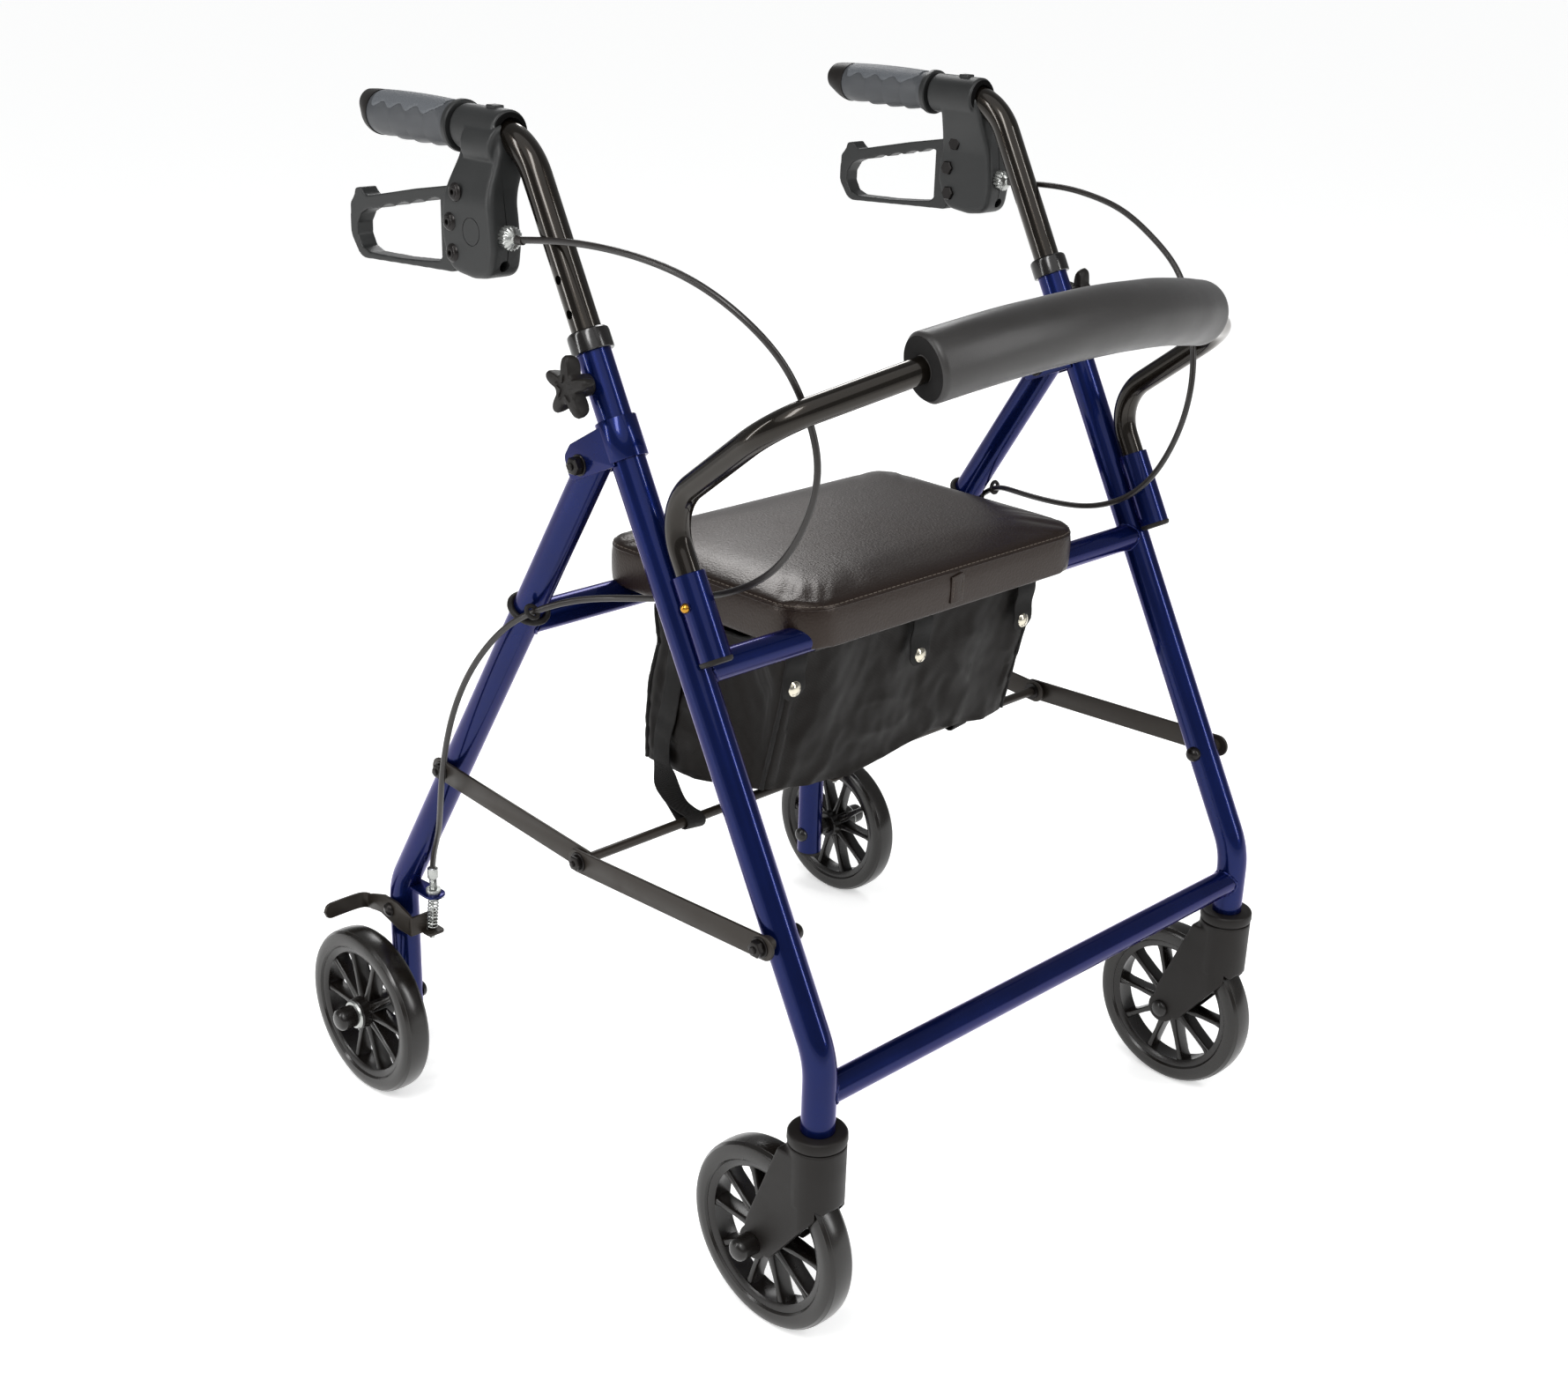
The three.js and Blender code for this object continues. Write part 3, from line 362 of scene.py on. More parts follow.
def tube(name, path, radius, mat, sides=32, angle=35, shape=None):
    """A round bar along a path; shape(t, angle) may change the radius."""
    path = [Vector(p) for p in path]
    rings = []
    tangents = []
    for i in range(len(path)):
        a, b = path[max(i - 1, 0)], path[min(i + 1, len(path) - 1)]
        tangents.append((b - a).normalized())
    u, _ = across(tangents[0])
    for i, p in enumerate(path):
        u = (u - tangents[i] * u.dot(tangents[i])).normalized()
        v = tangents[i].cross(u)
        t = i / (len(path) - 1)
        ring = []
        for k in range(sides):
            a = math.tau * k / sides
            r = shape(t, a) if shape else radius
            ring.append(p + (u * math.cos(a) + v * math.sin(a)) * r)
        rings.append(ring)
    return loft(name, rings, mat, angle)


def bend(corners, radii, step=0.08):
    """A polyline with rounded corners."""
    corners = [Vector(c) for c in corners]
    path = [corners[0]]
    for i in range(1, len(corners) - 1):
        back = (corners[i - 1] - corners[i]).normalized()
        ahead = (corners[i + 1] - corners[i]).normalized()
        turn = math.pi - back.angle(ahead)
        radius = radii[i - 1]
        centre = corners[i] + (back + ahead).normalized() * radius / math.cos(turn / 2)
        start = corners[i] + back * radius * math.tan(turn / 2) - centre
        axis = start.cross(ahead).normalized()
        steps = max(2, math.ceil(turn / step))
        for k in range(steps + 1):
            path.append(centre + Quaternion(axis, turn * k / steps) @ start)
    path.append(corners[-1])
    return path


def smooth_path(points, count, rounds=0):
    """A Catmull-Rom curve through given points, evenly sampled and eased."""
    pts = [Vector(p) for p in points]
    pts = [pts[0] * 2 - pts[1]] + pts + [pts[-1] * 2 - pts[-2]]
    fine = []
    for i in range(1, len(pts) - 2):
        for k in range(12):
            t = k / 12
            p0, p1, p2, p3 = pts[i - 1:i + 3]
            fine.append(0.5 * (2 * p1 + (p2 - p0) * t + (2 * p0 - 5 * p1 + 4 * p2 - p3) * t * t
                               + (3 * p1 - p0 - 3 * p2 + p3) * t ** 3))
    fine.append(pts[-2])
    lengths = np.concatenate([[0], np.cumsum([(b - a).length for a, b in zip(fine, fine[1:])])])
    grid = np.array([list(p) for p in fine])
    at = np.linspace(0, lengths[-1], count)
    even = np.array([[np.interp(s, lengths, grid[:, c]) for c in range(3)] for s in at])
    for _ in range(rounds):
        even[1:-1] = 0.25 * even[:-2] + 0.5 * even[1:-1] + 0.25 * even[2:]
    return [Vector(p) for p in even]


def rounded(corners, steps=6):
    """An outline whose corners [a, b, radius] are rounded."""
    outline = []
    count = len(corners)
    for i, (a, b, radius) in enumerate(corners):
        here = Vector((a, b))
        back = (Vector(corners[i - 1][:2]) - here).normalized()
        ahead = (Vector(corners[(i + 1) % count][:2]) - here).normalized()
        turn = math.pi - back.angle(ahead)
        reach = radius * math.tan(turn / 2)
        for k in range(steps + 1):
            t = k / steps
            p = (here + back * reach) * (1 - t) ** 2 + here * 2 * t * (1 - t) + (here + ahead * reach) * t * t
            outline.append((p.x, p.y))
    return outline


SIDE = Matrix(((0, 0, 1, 0), (1, 0, 0, 0), (0, 1, 0, 0), (0, 0, 0, 1)))  # (a, b, c) -> (x=c, y=a, z=b)
TOP = Matrix.Identity(4)  # (a, b, c) -> (x, y, z)


def plate(name, loops, c0, c1, bevel, mat, turn=SIDE):
    """Flat piece with rounded edges; the first loop is the outline, the others are windows."""
    curve = bpy.data.curves.new(name, "CURVE")
    curve.dimensions = "2D"
    curve.fill_mode = "BOTH"
    for outline in loops:
        spline = curve.splines.new("POLY")
        spline.points.add(len(outline) - 1)
        for point, (a, b) in zip(spline.points, outline):
            point.co = (a * MM, b * MM, 0, 1)
        spline.use_cyclic_u = True
    curve.extrude = ((c1 - c0) / 2 - bevel) * MM
    curve.bevel_depth = bevel * MM
    curve.bevel_resolution = 2
    curve.offset = -bevel * MM
    holder = add(name, curve)
    graph = bpy.context.evaluated_depsgraph_get()
    mesh = bpy.data.meshes.new_from_object(holder.evaluated_get(graph))
    bpy.data.objects.remove(holder)
    bpy.data.curves.remove(curve)
    mesh.transform(turn @ Matrix.Translation((0, 0, (c0 + c1) / 2 * MM)))
    bm = bmesh.new()
    bm.from_mesh(mesh)
    bmesh.ops.remove_doubles(bm, verts=bm.verts, dist=1e-6)
    bmesh.ops.recalc_face_normals(bm, faces=bm.faces)
    bm.to_mesh(mesh)
    bm.free()
    return link(name, mesh, mat)


def settle(ob):
    """Applies the modifiers of a piece."""
    graph = bpy.context.evaluated_depsgraph_get()
    mesh = bpy.data.meshes.new_from_object(ob.evaluated_get(graph))
    ob.modifiers.clear()
    ob.data = mesh
    return ob


def merge(name, *parts):
    """One piece out of several, with the first one's material."""
    bm = bmesh.new()
    mat = parts[0].data.materials[0]
    for part in parts:
        bm.from_mesh(part.data)
        bpy.data.objects.remove(part)
    mesh = bpy.data.meshes.new(name)
    bm.to_mesh(mesh)
    bm.free()
    mesh.materials.clear()
    mesh.materials.append(mat)
    return add(name, mesh)


def voxels(ob, size):
    remesh = ob.modifiers.new("remesh", "REMESH")
    remesh.mode = "VOXEL"
    remesh.voxel_size = size * MM
    remesh.use_smooth_shade = True


def fuse(name, voxel, passes, *parts):
    """Overlapping parts melted into one moulded form with small fillets."""
    ob = merge(name, *parts)
    voxels(ob, voxel)
    soften = ob.modifiers.new("soften", "SMOOTH")
    soften.factor = 0.5
    soften.iterations = passes
    settle(ob)
    smooth(ob.data)
    return ob


def cut(ob, *tools):
    for tool in tools:
        mod = ob.modifiers.new("cut", "BOOLEAN")
        mod.operation = "DIFFERENCE"
        mod.solver = "EXACT"
        mod.object = tool
        settle(ob)
        bpy.data.objects.remove(tool)
    ob.data.set_sharp_from_angle(angle=math.radians(40))
    return ob


def rod(name, a, b, radius, mat, sides=32):
    a, b = Vector(a), Vector(b)
    length = (b - a).length
    return lathe(name, [(0, 0), (radius, 0), (radius, length), (0, length)], a, b - a, mat, sides)


def own(ob, body, slot, *nodes):
    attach(ob, body)
    if nodes:
        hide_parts(*nodes)
    return ob


def both(ob, body, slot, *nodes):
    """Keeps a piece drawn at +X on the left and adds its mirror on the right; * stands for the side."""
    mesh = ob.data.copy()
    mesh.transform(Matrix.Scale(-1, 4, X_AXIS))
    mesh.flip_normals()
    base = ob.name
    other = add(base + "_right", mesh)
    ob.name = base + "_left"
    for side, one in (("left", ob), ("right", other)):
        own(one, body.replace("*", side), slot, *[n.replace("*", side) for n in nodes])
    return ob, other


def on_leg(z):
    return Vector((LEG_X, CASTER_Y + FRONT_SLOPE * (z - FRONT_BEND_Z), z))


def on_rear(z):
    return Vector((LEG_X, REAR_Y - REAR_SLOPE * (z - REAR_BEND_Z), z))


def on_socket(z):
    return on_leg(z - 25 * LEG_FORWARD.z) + LEG_FORWARD * 25


def nut(name, x, y, z, size=6.6, height=5.5, way=1, tip=3.0, washer=8.0, mat=BOLT):
    """Washer, hexagon nut and screw end, stacked outwards along X."""
    axis = X_AXIS * way
    base = Vector((x, y, z))
    ring = lathe(name + "w", [(0, 0), (washer, 0), (washer, 0.9), (washer - 0.5, 1.3), (0, 1.3)], base, axis, mat, 32)
    body = lathe(name + "n", [(0, 1.2), (size * 0.92, 1.2), (size, 1.8), (size, height), (size * 0.9, height + 0.9),
                              (size * 0.62, height + 1.4), (0, height + 1.4)], base, axis, mat, 6, angle=25)
    end = lathe(name + "t", [(0, height), (tip, height), (tip, height + 2.6), (tip - 0.7, height + 3.2),
                             (0, height + 3.2)], base, axis, mat, 20)
    return merge(name, ring, body, end)


def dome(name, x, y, z, radius, height, way=1, mat=BOLT):
    """Round rivet or screw head."""
    profile = [(0, 0), (radius, 0)]
    for k in range(1, 7):
        a = math.pi / 2 * k / 6
        profile.append((radius * math.cos(a) if k < 6 else 0, 0.25 * height + 0.75 * height * math.sin(a)))
    return lathe(name, profile, (x, y, z), X_AXIS * way, mat, 28)


def weld(name, bar, bar_r, leg_point, leg_dir):
    """Bead where a crossbar meets the inner side of a leg."""
    y0, z0 = bar
    normal = Vector((0, leg_dir.z, -leg_dir.y))
    path = []
    for k in range(41):
        a = math.tau * k / 40
        y, z = y0 + bar_r * math.cos(a), z0 + bar_r * math.sin(a)
        off = normal.dot(Vector((0, y, z)) - Vector((0, leg_point.y, leg_point.z)))
        off = max(-LEG_R, min(LEG_R, off))
        path.append((LEG_X - math.sqrt(LEG_R ** 2 - off ** 2) - 0.4, y, z))
    ripple = lambda t, a: 1.25 + 0.35 * math.sin(t * math.tau * 16)
    return tube(name, path, 1.3, PAINT, 10, shape=ripple)


# ------------------------------------------------------------------ front frame
def front_leg():
    path = bend([(LEG_X, CASTER_Y, 188), (LEG_X, CASTER_Y, FRONT_BEND_Z), on_leg(716)], [70])
    leg = tube("leg", path, LEG_R, PAINT, 56)
    sleeve = lathe("sleeve", [(12.6, 0), (15.0, 0), (15.3, 0.5), (15.3, 29.6), (15.0, 30.1), (12.6, 30.1)],
                   on_leg(640), LEG_AXIS, PAINT, 56)
    ear = rounded([(-71.5, 638, 1), (-57.5, 664.5, 1), (-22, 644, 7), (-15.5, 634, 7), (-22.5, 616, 7)])
    ears = [plate("ear", [ear], LEG_X + a, LEG_X + a + 2.2, 0.5, PAINT) for a in (-15.2, 13.0)]
    pin = rod("pin", (LEG_X, *FRONT_PIN), (FRONT_BRACE_X + 4, *FRONT_PIN), 4, PAINT)
    both(merge("front_leg_frame", leg, sleeve, *ears, pin), "front_frame", "frame_paint", "front_leg_*")
    both(rod("front_spacer", (LEG_X + 11, *FRONT_PIN), (FRONT_BRACE_X - 0.3, *FRONT_PIN), 6.4, STEEL), "front_frame",
         "dark_steel")
    both(nut("brace_nut_front", FRONT_BRACE_X + BRACE_T, *FRONT_PIN), "front_frame", "dark_steel")
    both(dome("brace_rivet_front", LEG_X - LEG_R + 0.8, *FRONT_PIN, 6.6, 7.4, -1), "front_frame", "dark_steel")
    both(nut("fold_nut", LEG_X + 15.2, *PIVOT, 6.8, 6.5), "front_frame", "dark_steel", "hinge_bolt_*")
    both(dome("fold_head", LEG_X - 15.2, *PIVOT, 7.5, 4.6, -1), "front_frame", "dark_steel")
    both(weld("weld_lower", LOWER_BAR, HANDLE_R, Vector((LEG_X, *LOWER_BAR)), Z_AXIS), "front_frame",
         "frame_paint")
    both(weld("weld_seat", SEAT_BAR, HANDLE_R, on_leg(501), LEG_AXIS), "front_frame", "frame_paint")
    lower = tube("lower_bar", [(x, *LOWER_BAR) for x in BAR_STATIONS], HANDLE_R, PAINT, 48)
    own(lower, "front_frame", "frame_paint", "lower_crossbar")
    seat = tube("seat_bar", [(x, *SEAT_BAR) for x in BAR_STATIONS], HANDLE_R, PAINT, 48)
    own(seat, "front_frame", "frame_paint", "seat_crossbar")


def collar():
    profile = [(11.35, 12.6), (12.9, 12.6), (12.9, 0.0), (15.2, 0.0), (15.7, 0.6), (15.7, 12.6), (15.2, 14.6),
               (13.8, 15.8), (11.9, 15.8), (11.35, 15.2)]
    ring = lathe("leg_ring", profile, on_leg(722) - LEG_AXIS * 13.5, LEG_AXIS, COLLAR, 56, loop=True)
    both(ring, "front_frame", "black_plastic", "leg_collar_*")


def socket():
    low, high = on_socket(516), on_socket(571.9)
    length = (high - low).length
    profile = [(0, 3.5), (9.9, 3.5), (9.9, length - 0.4), (10.4, length), (11.6, length), (12.0, length - 0.5),
               (12.0, 0.5), (11.6, 0), (0, 0)]
    shell = lathe("socket_shell", profile, low, LEG_AXIS, PAINT, 48)
    beads = []
    for z in (523, 556):
        for side in (-1, 1):
            path = [on_socket(z + d) - LEG_FORWARD * 11.3 + X_AXIS * side * 4.2 for d in range(0, 15)]
            ripple = lambda t, a: (1.7 + 0.4 * math.sin(t * math.tau * 5)) * (0.4 + 0.6 * math.sin(math.pi * t))
            beads.append(tube("bead", path, 1.7, PAINT, 10, shape=ripple))
    both(merge("backrest_tube_socket", shell, *beads), "front_frame", "frame_paint", "backrest_socket_*")
    plug = lathe("socket_plug", [(0, -3.2), (10.3, -3.2), (11.8, -2.4), (12.5, -0.6), (12.5, 0.2), (12.0, 0.8),
                                 (0, 0.8)], low, LEG_AXIS, PLASTIC, 40)
    both(plug, "front_frame", "black_plastic")
    y = on_socket(BUTTON_Z).y
    button = lathe("button_ball", [(0, 0), (3.8, 0), (3.8, 1.4), (3.6, 2.6), (3.1, 3.8), (2.2, 4.7), (1.1, 5.3),
                                   (0, 5.5)], (LEG_X + 10.4, y, BUTTON_Z), X_AXIS, BRASS, 32)
    both(button, "button_*", "brass", "snap_button_*")
    rim = lathe("button_rim", [(4.1, 0), (5.0, 0), (5.0, 0.35), (4.1, 0.35)], (LEG_X + 11.6, y, BUTTON_Z), X_AXIS,
                PAINT, 32, loop=True)
    both(rim, "front_frame", "frame_paint")


def knob():
    y = on_leg(KNOB_Z).y
    lobes = 5

    def star(x, scale):
        ring = []
        for k in range(150):
            a = math.tau * k / 150
            off = abs((a * lobes / (math.tau) + 0.5) % 1 - 0.5) * 2
            flat = 1 / (1 + math.exp((off - 0.4) * 10))
            r = (11.2 + 12.4 * flat) * scale
            ring.append((x, y + r * math.cos(a + 0.3), KNOB_Z + r * math.sin(a + 0.3)))
        return ring

    levels = [(280.5, 0.30), (280.5, 0.80), (281.2, 0.87), (283, 0.93), (286, 0.98), (290, 1.0), (292, 0.95),
              (292.8, 0.86), (293.0, 0.45), (291.8, 0.40), (291.6, 0.2)]
    head = loft("star", [star(x, s) for x, s in levels], PLASTIC, 40)
    boss = lathe("boss", [(0, 0), (7.4, 0), (7.9, 0.8), (8.6, 9.6), (0, 10.6)],
                 (LEG_X + LEG_R + 0.4, y, KNOB_Z), X_AXIS, PLASTIC, 40)
    both(merge("star_knob_body", head, boss), "knob_*", "black_plastic", "star_knob_*")
    screw = rod("knob_screw", (LEG_X + 11.6, y, KNOB_Z), (LEG_X + 14, y, KNOB_Z), 3.2, ZINC, 20)
    both(screw, "knob_*", "zinc")


# ------------------------------------------------------------------ rear frame
def rear_leg():
    top = Vector((LEG_X, PIVOT[0] - 13 * 0.521, PIVOT[1] + 13 * 0.8535))
    path = bend([(LEG_X, REAR_Y, 54), (LEG_X, REAR_Y, REAR_BEND_Z), top], [60])
    leg = tube("leg", path, LEG_R, PAINT, 56)
    x, y = SPRING
    tab = plate("tab", [rounded([(x - 10, y - 10, 9.9), (x + 10, y - 10, 9.9), (x + 9, REAR_Y - 8, 1),
                                 (x - 7, REAR_Y - 8, 1)])], STOP_Z, STOP_Z + 2.5, 0.5, PAINT, TOP)
    pins = [rod("pin", (LEG_X, *REAR_PIN), (BRACE_OUT + 1, *REAR_PIN), 4, PAINT),
            rod("pin", (LEG_X, *REAR_PIN), (BRACE_X - 0.2, *REAR_PIN), 6, PAINT),
            rod("pin", (LEG_X, *STRAP_PIVOT), (LEG_X + 16.4, *STRAP_PIVOT), 4, PAINT)]
    both(merge("rear_leg_frame", leg, tab, *pins), "rear_frame", "frame_paint", "rear_leg_*")
    plug = lathe("foot_plug", [(0, 0), (10.5, 0), (12.2, 0.8), (12.9, 2.2), (12.9, 4), (0, 4)],
                 (LEG_X, REAR_Y, 51.2), Z_AXIS, PLASTIC, 40)
    both(plug, "rear_frame", "black_plastic")
    both(nut("brace_nut_rear", BRACE_OUT, *REAR_PIN, 6.2, 4.6), "rear_frame", "dark_steel")
    both(dome("brace_rivet_rear", LEG_X - LEG_R + 0.8, *REAR_PIN, 5.5, 4.2, -1), "rear_frame", "dark_steel")
    both(dome("strap_rivet", LEG_X + LEG_R + 3.3, *STRAP_PIVOT, 6.2, 4.4), "rear_frame", "dark_steel")
    bar = tube("rear_bar", [(x, *REAR_BAR) for x in BAR_STATIONS], 12.3, PAINT, 48)
    own(bar, "rear_frame", "frame_paint", "rear_crossbar")
    both(weld("weld_rear", REAR_BAR, 12.3, on_rear(REAR_BAR[1]), REAR_AXIS), "rear_frame", "frame_paint")


def cable_hardware():
    x, y = SPRING
    thread = lambda a, r, h: r + (0.28 * math.sin(h * math.tau / 1.1) if 6.5 < h < 16 else 0)
    heights = [6.5 + 0.18 * k for k in range(54)]
    profile = ([(0, 0), (3, 0), (3, 2.6), (6.4, 2.6), (6.4, 6.4)] + [(3.0, h) for h in heights]
               + [(3.0, 16.2), (4.3, 17), (4.6, 17.6), (4.6, 26.2), (3.4, 27.2), (0, 27.2)])
    screw = lathe("adjuster_screw", profile, (x, y, STOP_Z - 0.2), Z_AXIS, ZINC, 36, shape=thread)
    both(screw, "rear_frame", "zinc", "cable_adjuster_*")
    for name, z, r in (("adjuster_nut", STOP_Z + 2.6, 6.6), ("adjuster_nut_low", STOP_Z - 3.4, 6.0)):
        piece = lathe(name, [(3.2, 0), (r * 0.92, 0), (r, 0.6), (r, 2.8), (r * 0.92, 3.4), (3.2, 3.4)], (x, y, z),
                      Z_AXIS, ZINC, 6, loop=True, angle=25)
        both(piece, "rear_frame", "zinc")
    coil = []
    turns = 9
    for k in range(turns * 20 + 1):
        a = math.tau * k / 20
        t = k / (turns * 20)
        cx, cy = SPRING_LOW[0] * (1 - t) + x * t, SPRING_LOW[1] * (1 - t) + y * t
        coil.append((cx + 4.3 * math.cos(a), cy + 4.3 * math.sin(a), 156.2 + 30.4 * t))
    spring = tube("return_spring", coil, 0.62, ZINC, 8)
    springs = both(spring, "rear_frame", "zinc", "brake_spring_*")
    wires = both(rod("brake_wire", (*SPRING_LOW, 157.5), (x, y, 191), 0.8, ZINC, 12), "rear_frame", "zinc")
    for pair in (springs, wires):
        for side, one in zip(("left", "right"), pair):
            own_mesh(one)


def brake_strap():
    inner = LEG_X + LEG_R + 0.5
    outer = inner + 2.6
    side = plate("side", [rounded([(205, 152, 1), (205, 171, 3), (226, 177.5, 8), (246, 177.5, 8), (266, 171, 3),
                                   (272, 168, 2), (272, 155, 2), (252, 158, 8), (226, 152, 8)])], inner, outer, 0.5,
                 STEEL)
    bow = smooth_path([(inner + 1.2, 266, 0), (inner + 2.2, 272.5, 0), (inner + 8, 277, 0), (297, 278.5, 0),
                       (314, 278.5, 0)], 24)
    rings = []
    for i, p in enumerate(bow):
        t = i / (len(bow) - 1)
        high = 7.6 * math.sqrt(max(0.0, 1 - max(0.0, (t - 0.86) / 0.14) ** 2)) + 0.05
        mid = 162.5 - 1.5 * t
        rings.append([(p.x + dx, p.y + dy, mid + dz * high) for dx, dy, dz in
                      ((-0.3, -1.2, -0.94), (0, -1.25, 0), (-0.3, -1.2, 0.94), (0, 0, 1), (0.3, 1.2, 0.94),
                       (0, 1.25, 0), (0.3, 1.2, -0.94), (0, 0, -1))])
    shoe = loft("shoe", rings, STEEL, 60)
    arm = plate("arm", [rounded([(246, 205, 0.5), (outer, 205, 2), (outer, 207.8, 0.3), (246, 207.8, 0.5)], 3)],
                152, 170, 0.6, STEEL, TOP)
    hook = plate("hook", [rounded([(245, 193.5, 4), (262, 193.5, 4), (262, 207.5, 1), (245, 207.5, 1)], 4)],
                 152.2, 154.8, 0.5, STEEL, TOP)
    both(merge("strap_body", side, shoe, arm, hook), "strap_*", "dark_steel", "brake_strap_*")
    stop = lathe("wire_nipple", [(0, 0), (2.4, 0), (2.4, 3.6), (1.8, 4.4), (0, 4.4)], (*SPRING_LOW, 147.6), Z_AXIS,
                 ZINC, 20)
    both(stop, "strap_*", "zinc")


# ------------------------------------------------------------------ wheels
def tyre_and_wheel(kind, x, y, hub, body):
    outline = [(61.1, -10.6), (62.5, -12.2), (66, -12.7), (70.5, -12.5), (73.2, -11.2), (74.6, -9.2), (74.9, -8.6),
               (75.3, -8.4), (75.9, -5.5), (76.2, 0), (75.9, 5.5), (75.3, 8.4), (74.9, 8.6), (74.6, 9.2),
               (73.2, 11.2), (70.5, 12.5), (66, 12.7), (62.5, 12.2), (61.1, 10.6)]
    tyre = lathe(kind + "_tyre_ring", outline, (x, y, WHEEL_R), X_AXIS, TYRE, 96, loop=True, angle=28)
    both(tyre, body, "tyre_rubber", kind + "_tyre_*")
    rim = lathe("rim", [(55.2, -8.2), (56.8, -9.6), (60.9, -10.4), (60.9, 10.4), (56.8, 9.6), (55.2, 8.2), (56.3, 0)],
                (x, y, WHEEL_R), X_AXIS, WHEEL, 80, loop=True)
    core = lathe("core", [(0, -hub + 1), (8.2, -hub + 1), (8.8, -hub), (12.6, -hub), (13.8, -hub + 1.2), (15.0, 0),
                          (13.8, hub - 1.2), (12.6, hub), (8.8, hub), (8.2, hub - 1), (0, hub - 1)], (x, y, WHEEL_R),
                 X_AXIS, WHEEL, 48)
    spokes = []
    for i in range(10):
        a = math.tau * (i + 0.5) / 10
        out = Vector((0, math.sin(a), math.cos(a)))
        side = out.cross(X_AXIS)
        rings = []
        for r, wide, deep in ((11, 4.6, 8.6), (20, 3.3, 8.0), (35, 2.5, 7.2), (50, 2.6, 7.2), (57, 4.2, 7.8)):
            ring = []
            for k in range(16):
                b = math.tau * k / 16
                cb, sb = math.cos(b), math.sin(b)
                p = Vector((x, y, WHEEL_R)) + out * r
                p += X_AXIS * deep * math.copysign(abs(cb) ** 0.45, cb)
                p += side * wide * math.copysign(abs(sb) ** 0.45, sb)
                ring.append(p)
            rings.append(ring)
        spokes.append(loft("spoke", rings, WHEEL, 45))
    both(merge(kind + "_wheel_body", rim, core, *spokes), body, "wheel_plastic", kind + "_wheel_*")


def wheels():
    tyre_and_wheel("rear", REAR_WHEEL_X, REAR_Y, 16.4, "drive_wheel_*")
    tyre_and_wheel("front", LEG_X, FRONT_WHEEL_Y, 15.6, "caster_wheel_*")
    cup = lathe("rear_cup", [(5.2, 0), (12.5, 0), (13.2, 0.6), (12.2, 2.2), (9.6, 3.2), (5.2, 3.2)],
                (REAR_WHEEL_X + 16.5, REAR_Y, WHEEL_R), X_AXIS, ZINC, 40, loop=True)
    both(cup, "rear_frame", "zinc")
    cap = lathe("rear_axle_cap", [(0, 0), (9.0, 0), (10.0, 0.8), (10.0, 11.5), (9.4, 14.2), (7.6, 16.0), (4.6, 17.0),
                                  (0, 17.3)], (REAR_WHEEL_X + 18.6, REAR_Y, WHEEL_R), X_AXIS, WHEEL, 40)
    spacer = rod("spacer", (LEG_X + 12, REAR_Y, WHEEL_R), (REAR_WHEEL_X - 15, REAR_Y, WHEEL_R), 8, WHEEL, 32)
    inner = dome("head", LEG_X - LEG_R + 1, REAR_Y, WHEEL_R, 7.6, 6, -1, WHEEL)
    both(merge("rear_axle_body", cap, spacer, inner), "rear_frame", "wheel_plastic", "rear_axle_*")
    outer = lathe("cap", [(0, 0), (8.2, 0), (9.0, 0.8), (9.0, 12.5), (8.2, 15.4), (6.2, 17.2), (3.4, 18.0),
                          (0, 18.2)], (LEG_X + 21.6, FRONT_WHEEL_Y, WHEEL_R), X_AXIS, WHEEL, 40)
    head = dome("head", LEG_X - 21.6, FRONT_WHEEL_Y, WHEEL_R, 8, 5.2, -1, WHEEL)
    both(merge("caster_axle_body", outer, head), "caster_*", "wheel_plastic", "caster_axle_*")


def caster_fork():
    x, y = LEG_X, CASTER_Y
    side = rounded([(-300, 172, 1), (-301, 131, 4), (-253, 69, 6), (-226, 80, 4), (-230, 97, 8), (-260, 172, 1)])
    arms = plate("arms", [side], x - 21.6, x + 21.6, 1.5, PLASTIC)
    boss = rod("boss", (x - 21.6, FRONT_WHEEL_Y, WHEEL_R), (x + 21.6, FRONT_WHEEL_Y, WHEEL_R), 13.6, PLASTIC, 40)
    around = rod("around", (x, y, 60), (x, y, 180), 21.9, PLASTIC, 72)
    keep = arms.modifiers.new("keep", "BOOLEAN")
    keep.operation = "INTERSECT"
    keep.solver = "EXACT"
    round_front = merge("round_front", around, plate("rear", [[(-276, 60), (-276, 180), (-215, 180), (-215, 60)]],
                                                     x - 25, x + 25, 0.1, PLASTIC))
    limit = fuse("limit", 1.2, 1, round_front)
    keep.object = limit
    settle(arms)
    bpy.data.objects.remove(limit)
    cup = lathe("cup", [(0, 129), (20.4, 129), (21.9, 131), (22.0, 178), (0, 178)], (x, y, 0), Z_AXIS, PLASTIC, 64)
    body = fuse("fork_body", 0.9, 5, arms, boss, cup)
    room = rod("room", (x - 15.9, FRONT_WHEEL_Y, WHEEL_R), (x + 15.9, FRONT_WHEEL_Y, WHEEL_R), 80.5, PLASTIC, 72)
    cut(body, room)
    both(body, "caster_*", "black_plastic", "caster_fork_*")
    lip = lathe("fork_lip", [(12.9, 5.5), (12.9, 9.6), (20.4, 10), (21.6, 9.4), (22.3, 8.2), (22.5, 3.4), (22.0, 1.2),
                             (20.6, 0.6), (20.6, 0)], (x, y, 178.2), Z_AXIS, PLASTIC, 64, loop=True)
    both(lip, "caster_*", "black_plastic")


